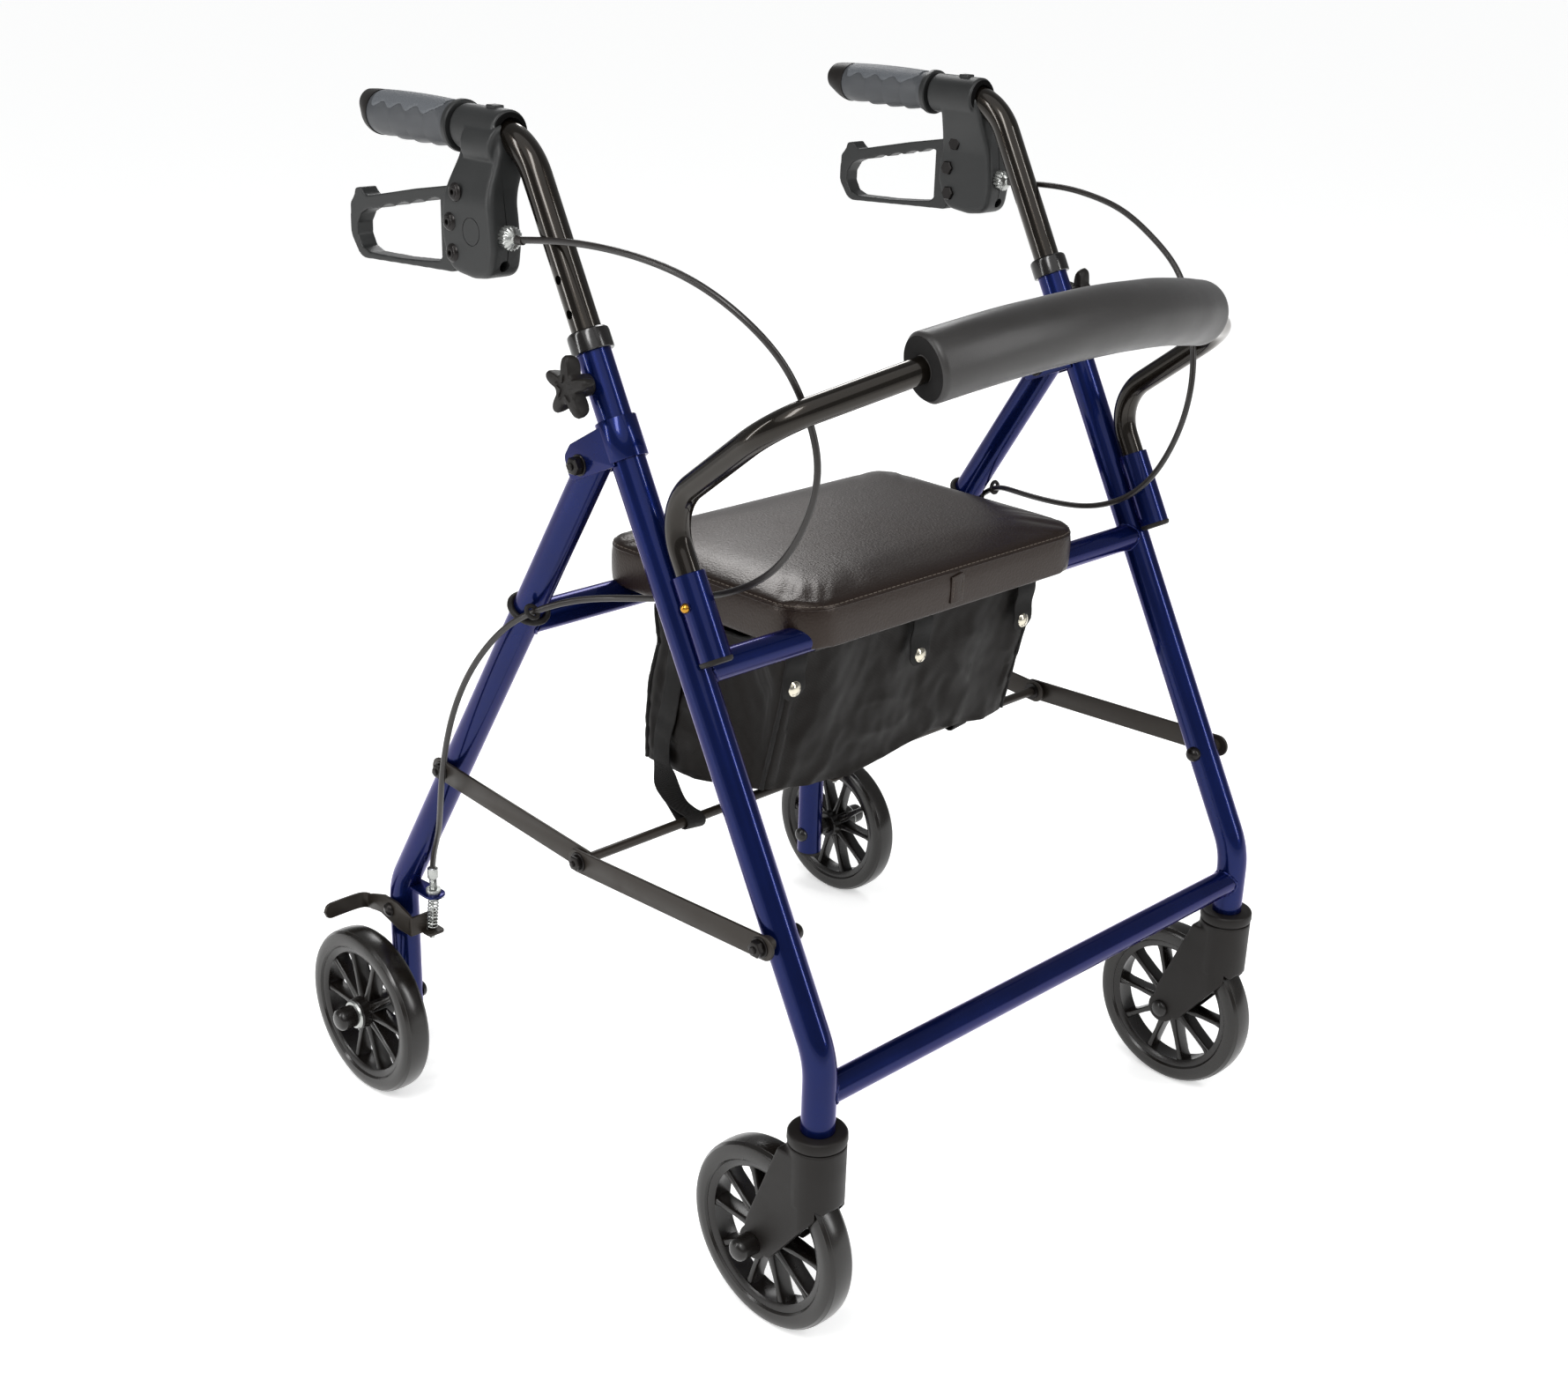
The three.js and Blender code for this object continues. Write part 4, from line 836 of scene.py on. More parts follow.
# ------------------------------------------------------------------ braces
def strip_outline(a, b):
    """Flat bar between two pins, with round ends a little beyond them."""
    along = math.atan2(b[1] - a[1], b[0] - a[0])
    shift = (STRIP_OVER * math.cos(along), STRIP_OVER * math.sin(along))
    a = (a[0] - shift[0], a[1] - shift[1])
    b = (b[0] + shift[0], b[1] + shift[1])
    points = []
    for end, turn in ((b, -math.pi / 2), (a, math.pi / 2)):
        for k in range(17):
            angle = along + turn + math.pi * k / 16
            points.append((end[0] + STRIP_HEIGHT / 2 * math.cos(angle),
                           end[1] + STRIP_HEIGHT / 2 * math.sin(angle)))
    return points


def braces():
    front = plate("front_strip", [strip_outline(FRONT_PIN, MID_PIN)], FRONT_BRACE_X, FRONT_BRACE_X + BRACE_T, 0.7,
                  STEEL)
    both(front, "front_brace_link_*", "dark_steel", "front_brace_*")
    both(nut("mid_nut", FRONT_BRACE_X + BRACE_T, *MID_PIN, 6.2, 4.2, tip=2.4), "front_brace_link_*", "dark_steel")
    rear = plate("rear_strip", [strip_outline(MID_PIN, REAR_PIN)], BRACE_X, BRACE_OUT, 0.7, STEEL)
    both(rear, "rear_braces", "dark_steel", "rear_brace_*")
    shaft = tube("cross_shaft", [(x, *MID_PIN) for x in (-275.2, -90, 90, 275.2)], 4.0, STEEL, 24)
    own(shaft, "rear_braces", "dark_steel", "cross_rod")
    washer = lathe("mid_washer", [(4.1, 0), (7.8, 0), (7.8, 1.2), (4.1, 1.2)], (BRACE_X - 1.4, *MID_PIN), X_AXIS,
                   BOLT, 32, loop=True)
    both(washer, "rear_braces", "dark_steel")


# ------------------------------------------------------------------ handles
def handle_tube():
    path = bend([on_leg(575), on_leg(HANDLE_Z), (LEG_X, 226, HANDLE_Z)], [50], 0.05)
    bar = tube("height_tube", path, HANDLE_R, GLOSS, 56)
    tools = []
    for step in HOLE_STEPS:
        c = on_leg(KNOB_Z) + LEG_AXIS * HOLE_PITCH * step
        tools.append(rod("drill", (LEG_X + 7, c.y, c.z), (LEG_X + 20, c.y, c.z), 3.3, GLOSS, 24))
    cut(bar, *tools)
    both(bar, "handle_*", "handle_paint", "handle_tube_*")
    # Near-black discs inside the drilled holes are painted shade, standing in for the dark inside of the tube.
    for i, step in enumerate(HOLE_STEPS):
        c = on_leg(KNOB_Z) + LEG_AXIS * HOLE_PITCH * step
        both(rod(f"pin_hole_{i}", (LEG_X + 6.9, c.y, c.z), (LEG_X + 7.2, c.y, c.z), 3.25, SHADE_BLACK, 20), "handle_*",
             "handle_paint")


def grip_radius(y, up):
    """Grip radius with overlapping finger ridges everywhere but along the top."""
    t = (y - 118) / 104
    cell = (208 - y) / 21.5
    edge = 0.5 - 0.12 * math.cos(math.tau * cell)
    drop = (cell % 1) ** 1.4 if 0 < cell < 3.9 else 0
    low = 1 / (1 + math.exp((up - edge) * 16))
    return 15.4 + 2.0 * math.sin(math.pi * min(1, 0.15 + 0.75 * t)) - 3.0 * drop * low


def grip():
    """Rubber grip with a stippled palm pad and a dark end that is cut away below."""
    rings = []
    for j in range(151):
        y = 118 + 98.5 * j / 150
        angles = [math.tau * k / 112 for k in range(112)]
        rings.append([(LEG_X + grip_radius(y, math.cos(a)) * math.sin(a), y,
                       HANDLE_Z + grip_radius(y, math.cos(a)) * math.cos(a)) for a in angles])
    both(loft("grip_body", rings, RUBBER, 50), "handle_*", "grip_rubber", "grip_*")
    rings = []
    for j in range(91):
        y = 127 + 86 * j / 90
        cell = (208 - y) / 21.5
        fade = min(1, (y - 126.5) / 6, (213.5 - y) / 3)
        limit = math.acos(0.5 - 0.12 * math.cos(math.tau * cell)) * (0.5 + 0.5 * fade)
        arc = [limit * (2 * k / 28 - 1) for k in range(29)]
        skin = [(a, 0.75 * min(1, (limit - abs(a)) * 14 + 0.15)) for a in arc] + [(a, -0.6) for a in reversed(arc)]
        rings.append([(LEG_X + (grip_radius(y, 1) + rise) * math.sin(a), y,
                       HANDLE_Z + (grip_radius(y, 1) + rise) * math.cos(a)) for a, rise in skin])
    both(loft("grip_pad", rings, STIPPLE, 40), "handle_*", "grip_rubber")
    rings = []
    for j in range(41):
        t = j / 40
        y = 216.3 + 22.5 * t
        ring = []
        for k in range(72):
            a = math.tau * k / 72
            up, out = math.cos(a), math.sin(a)
            away = max(0.0, 0.5 - 0.5 * up + 0.3 * out)
            r = 16.9 * (1 - min(0.74, 0.1 + 0.75 * away) * t ** 1.8)
            r *= math.sqrt(max(0.0, 1 - max(0.0, (t - 0.86) / 0.145) ** 2)) * 0.75 + 0.25
            ring.append((LEG_X + r * out, y, HANDLE_Z + r * up))
        rings.append(ring)
    both(loft("grip_end", rings, PLASTIC, 50), "handle_*", "grip_rubber")
    ring = lathe("grip_flange", [(11.6, 0), (17.9, 0), (18.9, 0.8), (19.0, 4.4), (18.2, 5.8), (15.6, 6.6),
                                 (11.6, 6.8)], (LEG_X, 113.2, HANDLE_Z), Y_AXIS, HOUSING, 64, loop=True)
    both(ring, "handle_*", "grip_rubber")


def brake_housing():
    outline = rounded([(57, 852, 3), (52.5, 838, 14), (51, 815, 30), (48, 795, 30), (45.5, 774, 16), (49, 752, 15),
                       (72, 749, 24), (99, 752, 17), (108.5, 776, 20), (107.5, 796, 26), (104, 814, 30),
                       (100, 832, 20), (98, 852, 3)])
    body = fuse("clamp_mass", 1.0, 2, plate("body", [outline], 258.5, 286, 4.0, HOUSING))
    for vert in body.data.vertices:
        t = min(1, max(0, (vert.co.z / MM - 800) / 48))
        vert.co.x -= 13.5 * MM * t * t * (3 - 2 * t)
    ring = lathe("ring", [(0, 0), (15.4, 0), (16.6, 1.2), (16.6, 49.8), (15.4, 51), (0, 51)], (LEG_X, 60, HANDLE_Z),
                 Y_AXIS, HOUSING, 64)
    neck = lathe("neck", [(0, 0), (15.8, 0), (15.8, 34), (0, 34)], (LEG_X + 6, 57, HANDLE_Z - 9), Y_AXIS, HOUSING, 48)
    body = fuse("clamp_body", 0.85, 9, body, ring, neck)
    bar = rod("room", (LEG_X, 40, HANDLE_Z), (LEG_X, 120, HANDLE_Z), 11.2, HOUSING, 48)
    slot = plate("slot", [[(74, 742), (74, 828), (125, 828), (125, 742)]], HOUSING_X - 4.7, HOUSING_X + 4.7, 0.1,
                 HOUSING)
    groove = lathe("groove", [(9.6, -0.5), (10.2, -0.5), (10.2, 3), (9.6, 3)], (285.9, 71, 783), X_AXIS, HOUSING, 48,
                   loop=True)
    seam = plate("seam", [[(38, 748), (38, 842), (53.4, 842), (49.4, 790), (47.4, 770), (51, 752)]], 271.6, 272.3,
                 0.05, HOUSING)
    hole = rod("hole", (HOUSING_X + 2, 40, 760), (HOUSING_X + 2, 62, 761), 4.2, HOUSING, 24)
    cut(body, bar, slot, groove, seam, hole)
    both(body, "handle_*", "brake_plastic", "brake_housing_*")
    # Matte black ring at the housing mouth: painted shade in the gap where the bar enters the housing.
    mouth_painted_shade = lathe("clamp_mouth_painted_shade", [(11.3, 0), (14.4, 0), (14.8, 0.5), (14.8, 3), (11.3, 3)], (LEG_X, 58.6, HANDLE_Z),
                 Y_AXIS, SHADE_BLACK, 48, loop=True)
    both(mouth_painted_shade, "handle_*", "brake_plastic")
    screw = plate("clamp_screw_seat", [rounded([(252, 73, 1.5), (261, 73, 1.5), (261, 84, 1.5), (252, 84, 1.5)], 3)],
                  864.5, 869.2, 0.8, HOUSING, TOP)
    both(screw, "handle_*", "brake_plastic")
    pieces = []
    for y, z in ((89, 809), (96.5, 787), (94, 765)):
        pieces.append(lathe("washer", [(3.8, 0), (6.8, 0), (6.9, 0.6), (5.9, 2.0), (4.6, 2.6), (3.8, 2.6)],
                            (285.6, y, z), X_AXIS, BOLT, 36, loop=True))
        pieces.append(lathe("socket", [(0, 1.4), (2.0, 1.4), (2.0, 3.2), (3.4, 3.2), (3.8, 2.8), (3.8, 0), (0, 0)],
                            (285.6, y, z), X_AXIS, BOLT, 24))
        pieces.append(lathe("nut", [(0, 0), (6.3, 0), (6.3, 2.4), (5.7, 3.0), (0, 3.0)], (259.0, y, z), -X_AXIS, BOLT,
                            6, angle=25))
    both(merge("housing_bolts", *pieces), "handle_*", "dark_steel")


def brake_lever():
    outer = rounded([(101, 812, 3), (150, 803.5, 30), (214, 790.5, 6), (221, 796.5, 2), (228, 795, 2.5),
                     (229.5, 790, 3), (235.5, 783, 6), (237, 760, 16), (224, 742.5, 14), (150, 746.5, 40),
                     (101, 749, 5)])
    scallops = []
    for k in range(49):
        t = k / 48
        wave = abs(math.sin(math.pi * 4 * t)) if 0 < t < 1 else 0
        scallops.append((117 + 78 * t, 799.8 - 16 * t + 2.0 * wave))
    window = scallops + [(212, 781), (221, 777), (226.5, 769), (227, 760), (222, 751.5), (212, 748), (170, 749.6),
                         (140, 752.2), (121, 754.5), (117, 758)]
    loop = plate("loop", [outer, window], HOUSING_X - 7.3, HOUSING_X + 7.3, 0.3, HOUSING)
    heel = rod("heel", (HOUSING_X - 4, *LEVER_PIVOT), (HOUSING_X + 4, *LEVER_PIVOT), 13.6, HOUSING, 48)
    neck = plate("neck", [[(92, 777), (92, 803), (112, 808), (112, 757)]], HOUSING_X - 4, HOUSING_X + 4, 0.3, HOUSING)
    both(fuse("lever_loop", 0.8, 6, loop, heel, neck), "lever_*", "brake_plastic", "brake_lever_*")


def barrel():
    def knurl(a, r, h):
        return r + 0.55 * math.cos(a * 18) if 13 < h < 22.4 else r

    profile = [(0, 0), (3.2, 0), (3.2, 11), (5.2, 11), (5.2, 12.4), (7.4, 12.4), (8.4, 13.2)]
    profile += [(8.4, 13.4 + 0.9 * k) for k in range(10)] + [(7.4, 23.0), (5.2, 24.6), (3.9, 25.4), (3.7, 27),
                                                            (0, 27)]
    piece = lathe("barrel_body", profile, (HOUSING_X, 62, 781), -Y_AXIS, ZINC, 108, shape=knurl)
    both(piece, "handle_*", "zinc", "barrel_adjuster_*")
    boot = lathe("barrel_boot", [(0, 0), (3.4, 0), (3.4, 3), (2.9, 7), (0, 7)], (HOUSING_X, 35.2, 781),
                 -Y_AXIS, CABLE, 24)
    both(boot, "handle_*", "black_plastic")


CABLES = {
    "left": [
        (272, 34.5, 781), (271, 1, 782.5), (270, -30, 784), (267, -71, 779), (263, -102, 772), (255, -154, 744),
        (249, -176, 724), (236, -201, 670), (230, -203, 627), (228, -193, 594), (228, -176, 563), (229, -147, 538),
        (231, -109, 523), (236, -59, 517), (248, -13, 513), (261, 12, 509), (270, 26, 504), (274, 40, 496),
        (277, 53, 486), (281, 68, 469), (285, 84, 448), (287, 99, 423), (288, 110, 400), (288, 119, 376),
        (287, 128, 347), (284, 137, 318), (271, 160, 272), (259, 186, 240), (254, 196.5, 226), (253.5, 197.5, 216.4),
    ],
    "right": [
        (-272, 34.5, 781), (-271, 3, 785), (-271, -33, 788), (-269, -71, 788), (-265, -112, 784), (-258, -147, 774),
        (-248, -179, 755), (-234, -200, 730), (-222, -204, 706), (-216, -214, 677), (-215, -218, 658),
        (-216, -216, 641), (-218, -209, 618), (-222, -193, 588), (-223, -177, 573), (-225, -153, 558),
        (-227, -125, 546), (-232, -67, 530), (-240, -20, 520), (-254, 6, 514),
    ],
}
CABLES["right"] += [(-x, y, z) for x, y, z in CABLES["left"][16:]]  # same run down the leg


def cables():
    """Each brake cable in two runs: handle to frame, then frame to rear leg."""
    for side, route in CABLES.items():
        path = smooth_path(route, 260, 45)
        split = max(range(len(path)), key=lambda i: -path[i].y)
        runs = (("upper", path[:split + 1], "handle_" + side, "front_frame"),
                ("lower", path[split:], "front_frame", "rear_frame"))
        for part, points, a, b in runs:
            run = tube(f"cable_{part}_{side}", points, 2.5, CABLE, 16)
            start, end = points[0], points[-1]
            if part == "lower":
                end = min(points, key=lambda p: abs(p.z - 506) + abs(p.y - 18))
            [c * MM for c in start]
            [c * MM for c in end]
            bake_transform(run)
            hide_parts("brake_cable_" + side)
    base = on_rear(497)
    loop = []
    for k in range(49):
        a = math.tau * k / 48
        u, v = across(REAR_AXIS)
        loop.append(base + (u * math.cos(a) + v * math.sin(a)) * (LEG_R + 2.2))
    band = tube("clip_band", loop, 2.6, PLASTIC, 12)
    ear = []
    centre = Vector((271, 27, 503))
    for k in range(33):
        a = math.tau * k / 32
        ear.append(centre + Vector((0.3 * math.sin(a), 0.35 * math.sin(a), 0)) * 5
                   + Vector((4.6 * math.cos(a), 0, 4.6 * math.sin(a))))
    eye = tube("eye", ear, 1.8, PLASTIC, 10)
    both(merge("cable_clip", band, eye), "rear_frame", "black_plastic")


# ------------------------------------------------------------------ backrest
def hoop_path():
    corner = on_socket(615.6)
    tilt = math.radians(37.5)
    ahead = Vector((0, -math.cos(tilt), math.sin(tilt)))
    reach, sag = 206.0, 471.0

    def at(x):
        drop = sag - math.sqrt(sag ** 2 - x ** 2)
        return Vector((x, corner.y, corner.z)) + ahead * (reach - drop)

    low = on_socket(520.5)
    half = bend([low, corner, at(LEG_X), at(150)], [40, 48], 0.07)
    inner = [at(x) for x in range(140, -141, -10)]
    other = [Vector((-p.x, p.y, p.z)) for p in reversed(half)]
    return half + inner + other


def backrest():
    bar = tube("hoop_bar", hoop_path(), BAR_R, GLOSS, 44)
    y = on_socket(BUTTON_Z).y
    cut(bar, *[rod("button_hole", (x, y, BUTTON_Z), (x + math.copysign(14, x), y, BUTTON_Z), 4.1, SHADE_BLACK, 24)
               for x in (-LEG_X - 4, LEG_X + 4)])
    own(bar, "front_frame", "handle_paint", "backrest_bar")
    core = [p for p in hoop_path() if abs(p.x) < 149]
    out = (core[0] - core[1]).normalized()
    end = [core[0] + out * d for d in (18, 14, 9, 4)]
    path = end + core + [Vector((-p.x, p.y, p.z)) for p in reversed(end)]
    lengths = np.concatenate([[0], np.cumsum([(b - a).length for a, b in zip(path, path[1:])])])
    even = []
    for s in np.linspace(0, lengths[-1], 120):
        i = min(int(np.searchsorted(lengths, s, side="right")) - 1, len(path) - 2)
        even.append(path[i].lerp(path[i + 1], (s - lengths[i]) / (lengths[i + 1] - lengths[i])))
    total = lengths[-1]

    def skin(t, a):
        from_end = min(t, 1 - t) * total
        shoulder = 25.0 - 2.2 * max(0.0, 1 - from_end / 3.0) ** 2
        dents = 0.35 * noise.noise(Vector((t * 9, math.cos(a) * 1.4, math.sin(a) * 1.4)))
        return shoulder + dents * min(1, from_end / 12)

    pad = tube("foam_roll", even, 25, FOAM, 72, angle=60, shape=skin)
    own(pad, "front_frame", "foam", "backrest_foam")
    face = (even[0] - even[1]).normalized()
    for side in (1, -1):
        centre = Vector((even[0].x * side, even[0].y, even[0].z))
        axis = Vector((face.x * side, face.y, face.z))
        ring = lathe("foam_end_" + ("left" if side > 0 else "right"),
                     [(BAR_R + 0.1, 0.0), (22.6, 0.0), (22.3, 0.5), (BAR_R + 1.6, 0.6), (BAR_R + 0.1, 0.2)], centre,
                     axis, FOAM_CUT, 64, loop=True)
        own(ring, "front_frame", "foam")


# ------------------------------------------------------------------ seat
SEAT_HALF = 168.0
SEAT_FRONT = -161.5
SEAT_BACK = 75.5
PUFF = 0.0028  # most the cushion may rise, metres
PUFF_FRAMES = 20
HELD_BELOW = 0.5268  # metres; the skirt under this height stays still
STITCHES = 210


def spaced(points, count):
    """x and y of evenly spaced points around a closed outline."""
    loop = points + [points[0]]
    lengths = np.concatenate([[0], np.cumsum([math.dist(a, b) for a, b in zip(loop, loop[1:])])])
    at = np.linspace(0, lengths[-1], count + 1)[:-1]
    return [np.interp(at, lengths, [p[i] for p in loop]) for i in (0, 1)]


def seat_ring(inset, z, count=160):
    rear, front = max(28.0 - inset, 3.0), max(36.0 - inset, 3.0)
    x1 = SEAT_HALF - inset
    y0, y1 = SEAT_FRONT + inset, SEAT_BACK - inset
    centres = [(x1 - rear, y1 - rear, 0, rear), (-x1 + rear, y1 - rear, 90, rear),
               (-x1 + front, y0 + front, 180, front), (x1 - front, y0 + front, 270, front)]
    points = []
    for cx, cy, start, radius in centres:
        for k in range(count // 4):
            a = math.radians(start + 90 * k / (count // 4 - 1))
            points.append((cx + radius * math.cos(a), cy + radius * math.sin(a)))
    return [(x, y, z) for x, y in zip(*spaced(points, count))]


def seat():
    levels = [(60, 516.4), (11, 516.4), (8.6, 514.5), (7.8, 497), (6.4, 494), (3.6, 492.8), (1.2, 494.6),
              (0.5, 503), (0.2, 512), (0.4, 520), (1.0, 523.8), (1.8, 526.2), (1.6, 528), (3.2, 530.4),
              (6.5, 532.2), (12, 533.4), (22, 534.1), (45, 534.6), (80, 534.9), (105, 535.0)]
    pad = loft("seat_base", [seat_ring(inset, z) for inset, z in levels], VINYL, 60)
    voxels(pad, 4)
    settle(pad)
    inflate(pad)
    subdivide = pad.modifiers.new("fine", "SUBSURF")
    subdivide.levels = subdivide.render_levels = 1
    settle(pad)
    pad.name = "seat_cushion"
    cut(pad, rod("bar_room", (-200, *SEAT_BAR), (200, *SEAT_BAR), 10.4, VINYL, 48),
        rod("rear_room", (-200, *REAR_BAR), (200, *REAR_BAR), 10.2, VINYL, 48),
        rod("sleeve_room", (-146, *SEAT_BAR), (146, *SEAT_BAR), 12.9, VINYL, 48))
    smooth(pad.data)
    own(pad, "seat", "seat_vinyl", "seat_pad")
    seams(pad)


def inflate(pad):
    """Cloth pressure crowns the top; the skirt is held by the board."""
    rest = np.array([v.co for v in pad.data.vertices])
    group = pad.vertex_groups.new(name="held")
    for i, p in enumerate(rest):
        weight = 1.0 if p[2] < HELD_BELOW else max(0.0, 1 - (p[2] - HELD_BELOW) / 0.004)
        if weight > 0:
            group.add([i], weight, "REPLACE")
    cloth = pad.modifiers.new("cloth", "CLOTH")
    cloth.settings.quality = 6
    cloth.settings.use_pressure = True
    cloth.settings.uniform_pressure_force = 4
    cloth.settings.effector_weights.gravity = 0
    cloth.settings.vertex_group_mass = "held"
    cloth.point_cache.frame_start = 1
    cloth.point_cache.frame_end = PUFF_FRAMES
    scene = bpy.context.scene
    for step in range(1, PUFF_FRAMES + 1):
        scene.frame_set(step)
    graph = bpy.context.evaluated_depsgraph_get()
    moved = np.array([v.co for v in pad.evaluated_get(graph).data.vertices])
    scene.frame_set(1)
    pad.modifiers.clear()
    shift = moved - rest
    size = np.linalg.norm(shift, axis=1)
    scale = PUFF * np.tanh(size / PUFF) / np.maximum(size, 1e-9)
    final = rest + shift * scale[:, None]
    pad.data.vertices.foreach_set("co", final.astype(np.float32).ravel())
    pad.data.update()


def seams(pad):
    """Welt, thread, front lap and board of the seat, laid on the finished cushion."""
    tree = BVHTree.FromPolygons([v.co[:] for v in pad.data.vertices], [p.vertices[:] for p in pad.data.polygons])

    def drop(point, off):
        hit, normal, _, _ = tree.find_nearest(Vector(point) * MM)
        return hit / MM + normal * off, normal

    welt = []
    for p in seat_ring(0.8, 526.2, 240):
        spot, _ = drop(p, -0.2)
        welt.append(spot)
    cord = tube("seat_welt", welt + [welt[0]], 0.75, VINYL, 8)
    own(cord, "seat", "seat_vinyl")
    stitches = []
    ring = seat_ring(2.0, 528.6, STITCHES)
    for i in range(STITCHES):
        a, b = Vector(ring[i]), Vector(ring[(i + 1) % STITCHES])
        s, n = drop(a.lerp(b, 0.16), 0.12)
        e, _ = drop(a.lerp(b, 0.84), 0.12)
        path = [s - n * 0.5, s, (s + e) / 2 + n * 0.1, e, e - n * 0.5]
        stitches.append(tube("stitch", path, 0.34, THREAD, 5))
    for i in range(7):
        z = 502.5 + i * 3
        for x in (-3.6, 7.4):
            s, n = drop((x, -161, z), 0.95)
            stitches.append(tube("stitch", [s, s + Vector((0, 0, 2.1))], 0.3, THREAD, 5))
    own(merge("seat_stitches", *stitches), "seat", "seat_vinyl")
    outline = rounded([(-6, 500.8, 0.6), (9, 500.8, 0.6), (9, 522, 0.6), (6.5, 524.5, 0.6), (-6, 522.4, 0.6)], 3)
    front = Matrix(((1, 0, 0, 0), (0, 0, -1, 0), (0, 1, 0, 0), (0, 0, 0, 1)))
    spot, _ = drop((1, -161, 511), 0)
    lap = plate("seat_lap", [outline], -spot.y - 0.5, -spot.y + 0.9, 0.35, VINYL, front)
    own(lap, "seat", "seat_vinyl")
    corners = rounded([(-156, -149, 24), (156, -149, 24), (156, 66, 18), (-156, 66, 18)], 10)
    board = plate("seat_base_board", [corners], 514.3, 516.2, 0.5, PLASTIC, TOP)
    feet = [rod("foot", (x, REAR_BAR[0], 498.2), (x, REAR_BAR[0], 515.0), 9.0, PLASTIC, 32) for x in (-110, 110)]
    own(merge("seat_base_board", board, *feet), "seat", "black_plastic", "seat_board")


# ------------------------------------------------------------------ bag
BAG_HALF = 146.0
BAG_FLOOR = 346.0
TAB_TOP = 491.5
BAG_FRONT = ([346, 353, 430, 480, 494], [-100, -101, -119, -128, -132])
BAG_BACK = ([344, 385, 418, 456, 480], [41, 41, 38, 27, 31])
BAG_EDGE = ([-147, -100, -50, 0, 50, 118, 147], [362, 352, 346, 352, 359, 351, 355])


def bag_level(z, around):
    """Even points around the bag at one height."""
    front, back = np.interp(z, *BAG_FRONT), np.interp(z, *BAG_BACK)
    corners = rounded([(BAG_HALF, back, 9), (-BAG_HALF, back, 9), (-BAG_HALF, front, 7), (BAG_HALF, front, 7)], 4)
    return (*spaced(corners, around), front, back)


def bag_rows(around, down):
    rows = []
    for j in range(down + 1):
        v = j / down
        xs, ys, front, back = bag_level(487 - v * 139, around)
        ring = []
        for x, y in zip(xs, ys):
            t = min(1, max(0, (-70 - y) / 40))
            top = 480 + 12.5 * t * t * (3 - 2 * t)
            low = 344 + (np.interp(x, *BAG_EDGE) - 344) * min(1, max(0, (-20 - y) / 80))
            z = top + (low - top) * v
            side = abs(abs(x) - BAG_HALF) < 12
            s = y if side else x
            hang = math.sin(math.pi * min(1, v * 1.05)) ** 0.6
            fold = noise.noise(Vector((s * 0.022 + 7 * side, z * 0.010, 1.7 + math.copysign(1, x if side else y))))
            crease = 1 - abs(noise.noise(Vector((s * 0.018 + z * 0.012, z * 0.02 - s * 0.006, 9.2)))) * 2.6
            fine = noise.noise(Vector((s * 0.09, z * 0.06, 4.1)))
            sink = min(2.5, 6.0 * fold * hang + 2.3 * max(0, crease) * (0.3 + 0.7 * v) + 0.7 * fine - 1.5)
            out = Vector((math.copysign(1, x), 0, 0)) if side else Vector((0, 1 if y > -40 else -1, 0))
            edge = min(back - y, y - front) / 18 if side else (BAG_HALF - abs(x)) / 18
            ring.append(Vector((x, y, z)) + out * sink * max(0.12, min(1, edge)))
        rows.append(ring)
    middle = Vector((0, -30, 0))
    for step in range(1, 16):
        f = 1 - step / 15.5
        ring = []
        for p in rows[down]:
            q = middle + (Vector((p.x, p.y, 0)) - middle) * f
            sag = 2.4 * (1 - f) + 1.3 * noise.noise(Vector((q.x * 0.03, q.y * 0.03, 6)))
            ring.append(Vector((q.x, q.y, p.z * f + (BAG_FLOOR + 1) * (1 - f) - sag)))
        rows.append(ring)
    return rows


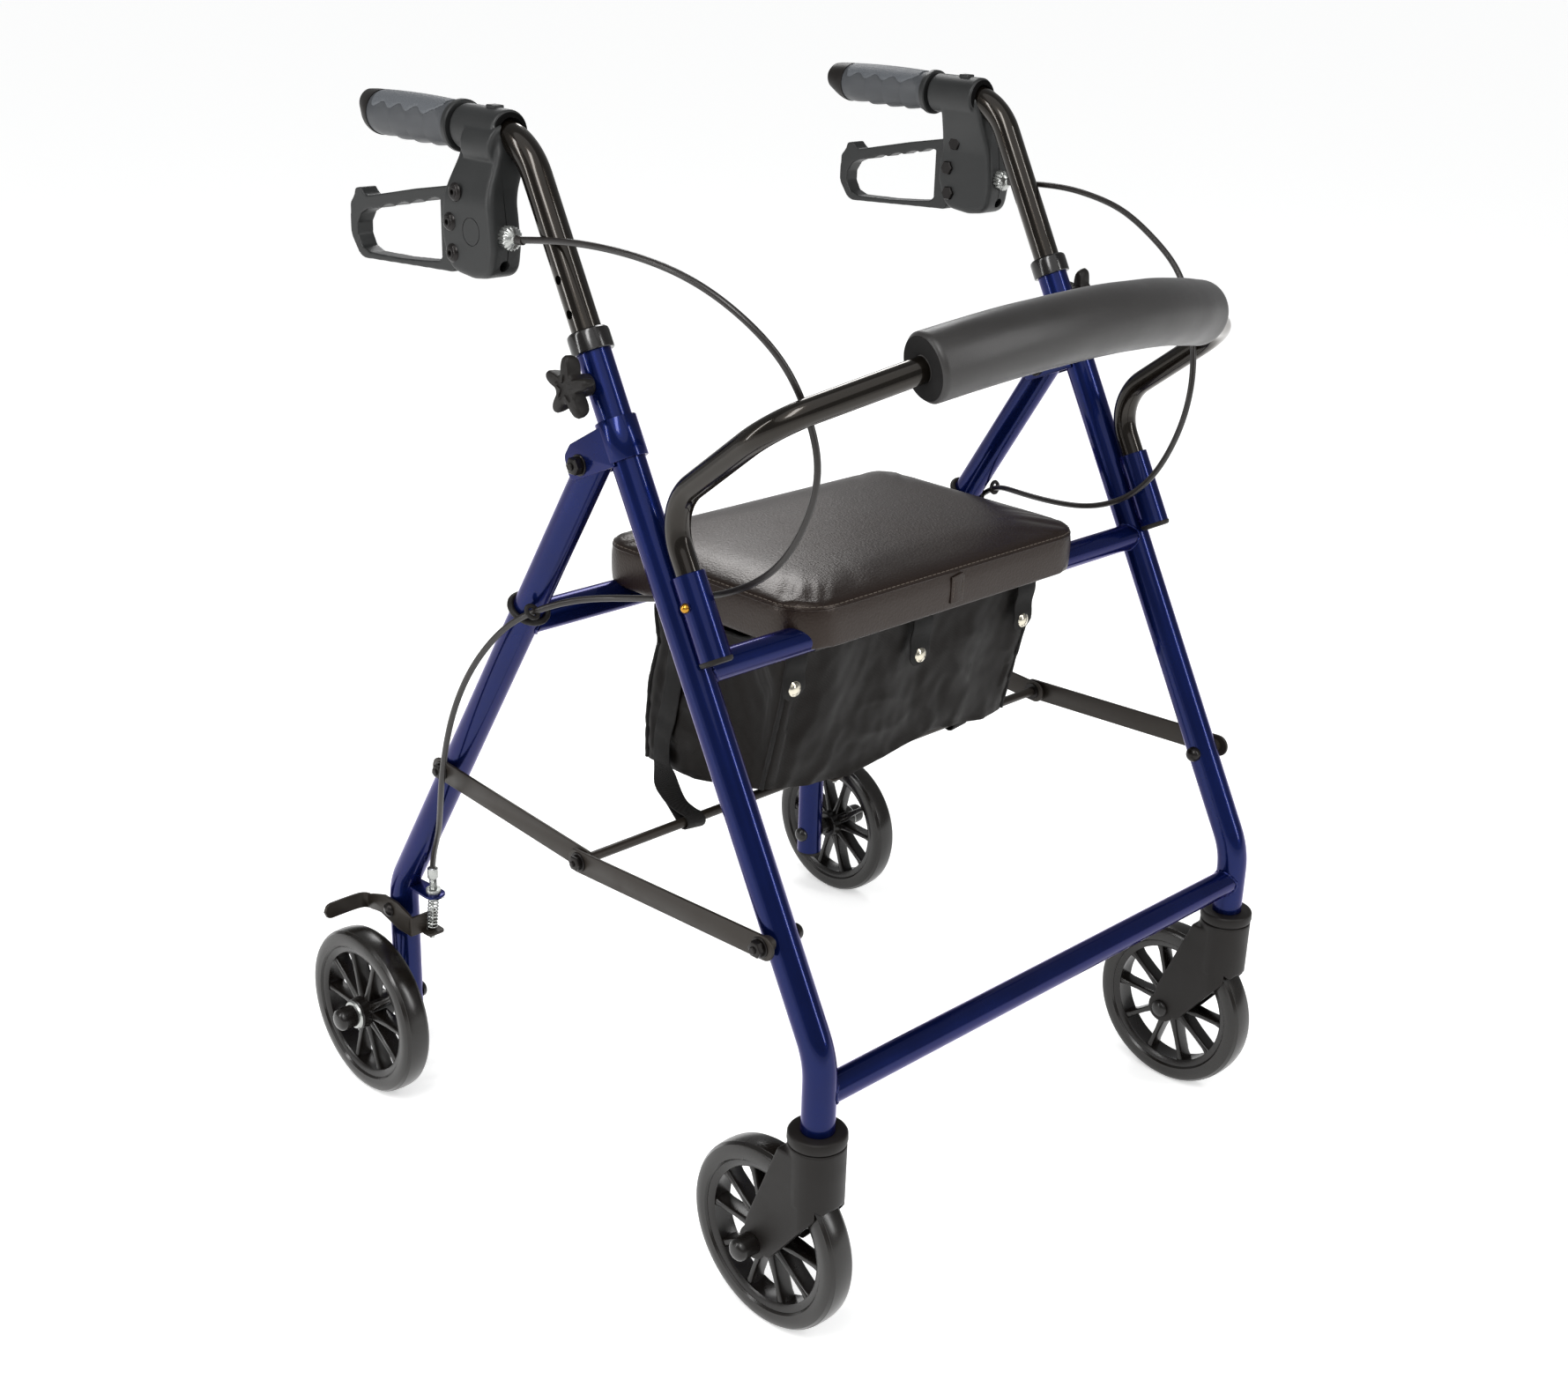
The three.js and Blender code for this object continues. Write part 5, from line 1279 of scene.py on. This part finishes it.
def bag():
    """Open nylon bag: one shell from the rim down the walls and across the floor, creased where it hangs."""
    around, down = 300, 70
    rows = bag_rows(around, down)
    verts = [tuple(p * MM) for ring in rows for p in ring]
    faces = []
    for j in range(len(rows) - 1):
        for k in range(around):
            n = (k + 1) % around
            faces.append((j * around + k, j * around + n, (j + 1) * around + n, (j + 1) * around + k))
    last = (len(rows) - 1) * around
    faces.append([last + k for k in range(around)])
    mesh = bpy.data.meshes.new("bag_shell")
    mesh.from_pydata(verts, [], faces)
    mesh.update()
    shell = link("bag_shell", mesh, NYLON, 60)
    thick = shell.modifiers.new("cloth_thickness", "SOLIDIFY")
    thick.thickness = 0.001
    thick.offset = 0
    settle(shell)
    soft = [own(shell, "front_frame", "bag_nylon", "storage_bag")]
    hem = tube("bag_hem", list(rows[0]) + [rows[0][0]], 1.7, WEBBING, 10)
    soft.append(own(hem, "front_frame", "bag_nylon"))
    for i, target in enumerate(((1, 1), (-1, 1), (-1, -1), (1, -1))):
        line = []
        for j in range(0, down + 1, 2):
            best = max(range(around), key=lambda k: rows[j][k].x * target[0] + rows[j][k].y * target[1])
            line.append(rows[j][best] + Vector((target[0] * 0.7, target[1] * 0.7, 0)))
        wobble = lambda t, a: 1.9 + 0.5 * noise.noise(Vector((t * 22, i, 0)))
        soft.append(own(tube(f"bag_binding_{i}", line, 1.9, WEBBING, 10, shape=wobble), "front_frame", "bag_nylon"))
    soft += tabs() + hangers()
    for piece in soft:
        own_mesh(piece)
    length = 290
    ruffle = lambda a, r, h: r + (0.4 * noise.noise(Vector((h * 0.14, math.cos(a) * 1.6, math.sin(a) * 1.6)))
                                  + 0.3 * noise.noise(Vector((h * 0.4, math.cos(a) * 2, 7))) if r > 11.8 else 0)
    outer = [(12.0, 1 + (length - 2) * k / 150) for k in range(151)]
    sleeve = lathe("bag_sleeve", [(9.8, 0), (11.5, 0)] + outer + [(11.5, length), (9.8, length)],
                   (-length / 2, *SEAT_BAR), X_AXIS, NYLON, 48, loop=True, angle=60, shape=ruffle)
    own(sleeve, "front_frame", "bag_nylon")


def ribbon(name, path, width_dir, width, thick, mat, taper=False):
    """Flat strap along a path; width_dir is the direction across it, or a function of t that gives it."""
    path = [Vector(p) for p in path]
    rings = []
    for i, p in enumerate(path):
        a, b = path[max(i - 1, 0)], path[min(i + 1, len(path) - 1)]
        along = (b - a).normalized()
        wide = Vector(width_dir(i / (len(path) - 1)) if callable(width_dir) else width_dir)
        wide = (wide - along * wide.dot(along)).normalized()
        normal = along.cross(wide)
        w = width / 2
        if taper and i >= len(path) - 3:
            w *= (1, 0.8, 0.45)[i - (len(path) - 3)]
        h = thick / 2
        rings.append([p + wide * w * u + normal * h * v for u, v in ((-1, -0.6), (-0.93, -1), (0.93, -1), (1, -0.6),
                                                                     (1, 0.6), (0.93, 1), (-0.93, 1), (-1, 0.6))])
    return loft(name, rings, mat, 50)


def tabs():
    """Three fabric tabs that hang from the sleeve and close with snaps."""
    pieces = []
    for i, (x, z) in enumerate(((-144, 455), (-1.4, 448), (128, 448))):
        path = [(x, -132.4 + 4.2 * math.sin(math.pi / 2 * k / 14) + 0.7 * math.sin(k),
                 TAB_TOP + (z - 9 - TAB_TOP) * k / 14) for k in range(15)]
        tab = ribbon(f"bag_tab_{i}", path, (1, 0, 0), 23, 1.5, WEBBING, True)
        pieces.append(own(tab, "front_frame", "bag_nylon"))
        snap = lathe(f"bag_snap_{i}", [(0, 0), (6.0, 0), (6.3, 0.5), (6.0, 1.1), (5.4, 1.3), (4.8, 2.0), (3.3, 2.6),
                                       (1.7, 3.0), (0, 3.1)], Vector((x, -129.2, z)), Vector((0, -1, 0.12)), CHROME,
                     40)
        pieces.append(own(snap, "front_frame", "zinc"))
    return pieces


def hangers():
    """Side straps that tie the bag to the cross rod."""
    path = smooth_path([(148.6, -2, 455), (149.6, 0.7, 430), (150, 6.8, 396), (151, 13, 371), (152, 12, 347),
                        (156, 2, 335), (161, -15, 327), (161.5, -29, 323.5), (161.5, -36, 323), (161.5, -41.5, 318.5),
                        (161.5, -39, 312.5), (161.5, -33, 311), (161.5, -27, 316), (160.5, -17, 323),
                        (157.5, -4, 329)], 80)

    def cross(t):
        turn = min(1, max(0, (t - 0.5) / 0.22))
        return Vector((turn, 1 - turn, 0.12))

    return list(both(ribbon("bag_strap", path, cross, 19, 1.3, WEBBING), "front_frame", "bag_nylon"))


for build in (camera, studio, cables, front_leg, collar, socket, knob, rear_leg, cable_hardware,
              brake_strap, wheels, caster_fork, braces, handle_tube, grip, brake_housing, brake_lever,
              barrel, backrest, seat, bag):
    build()
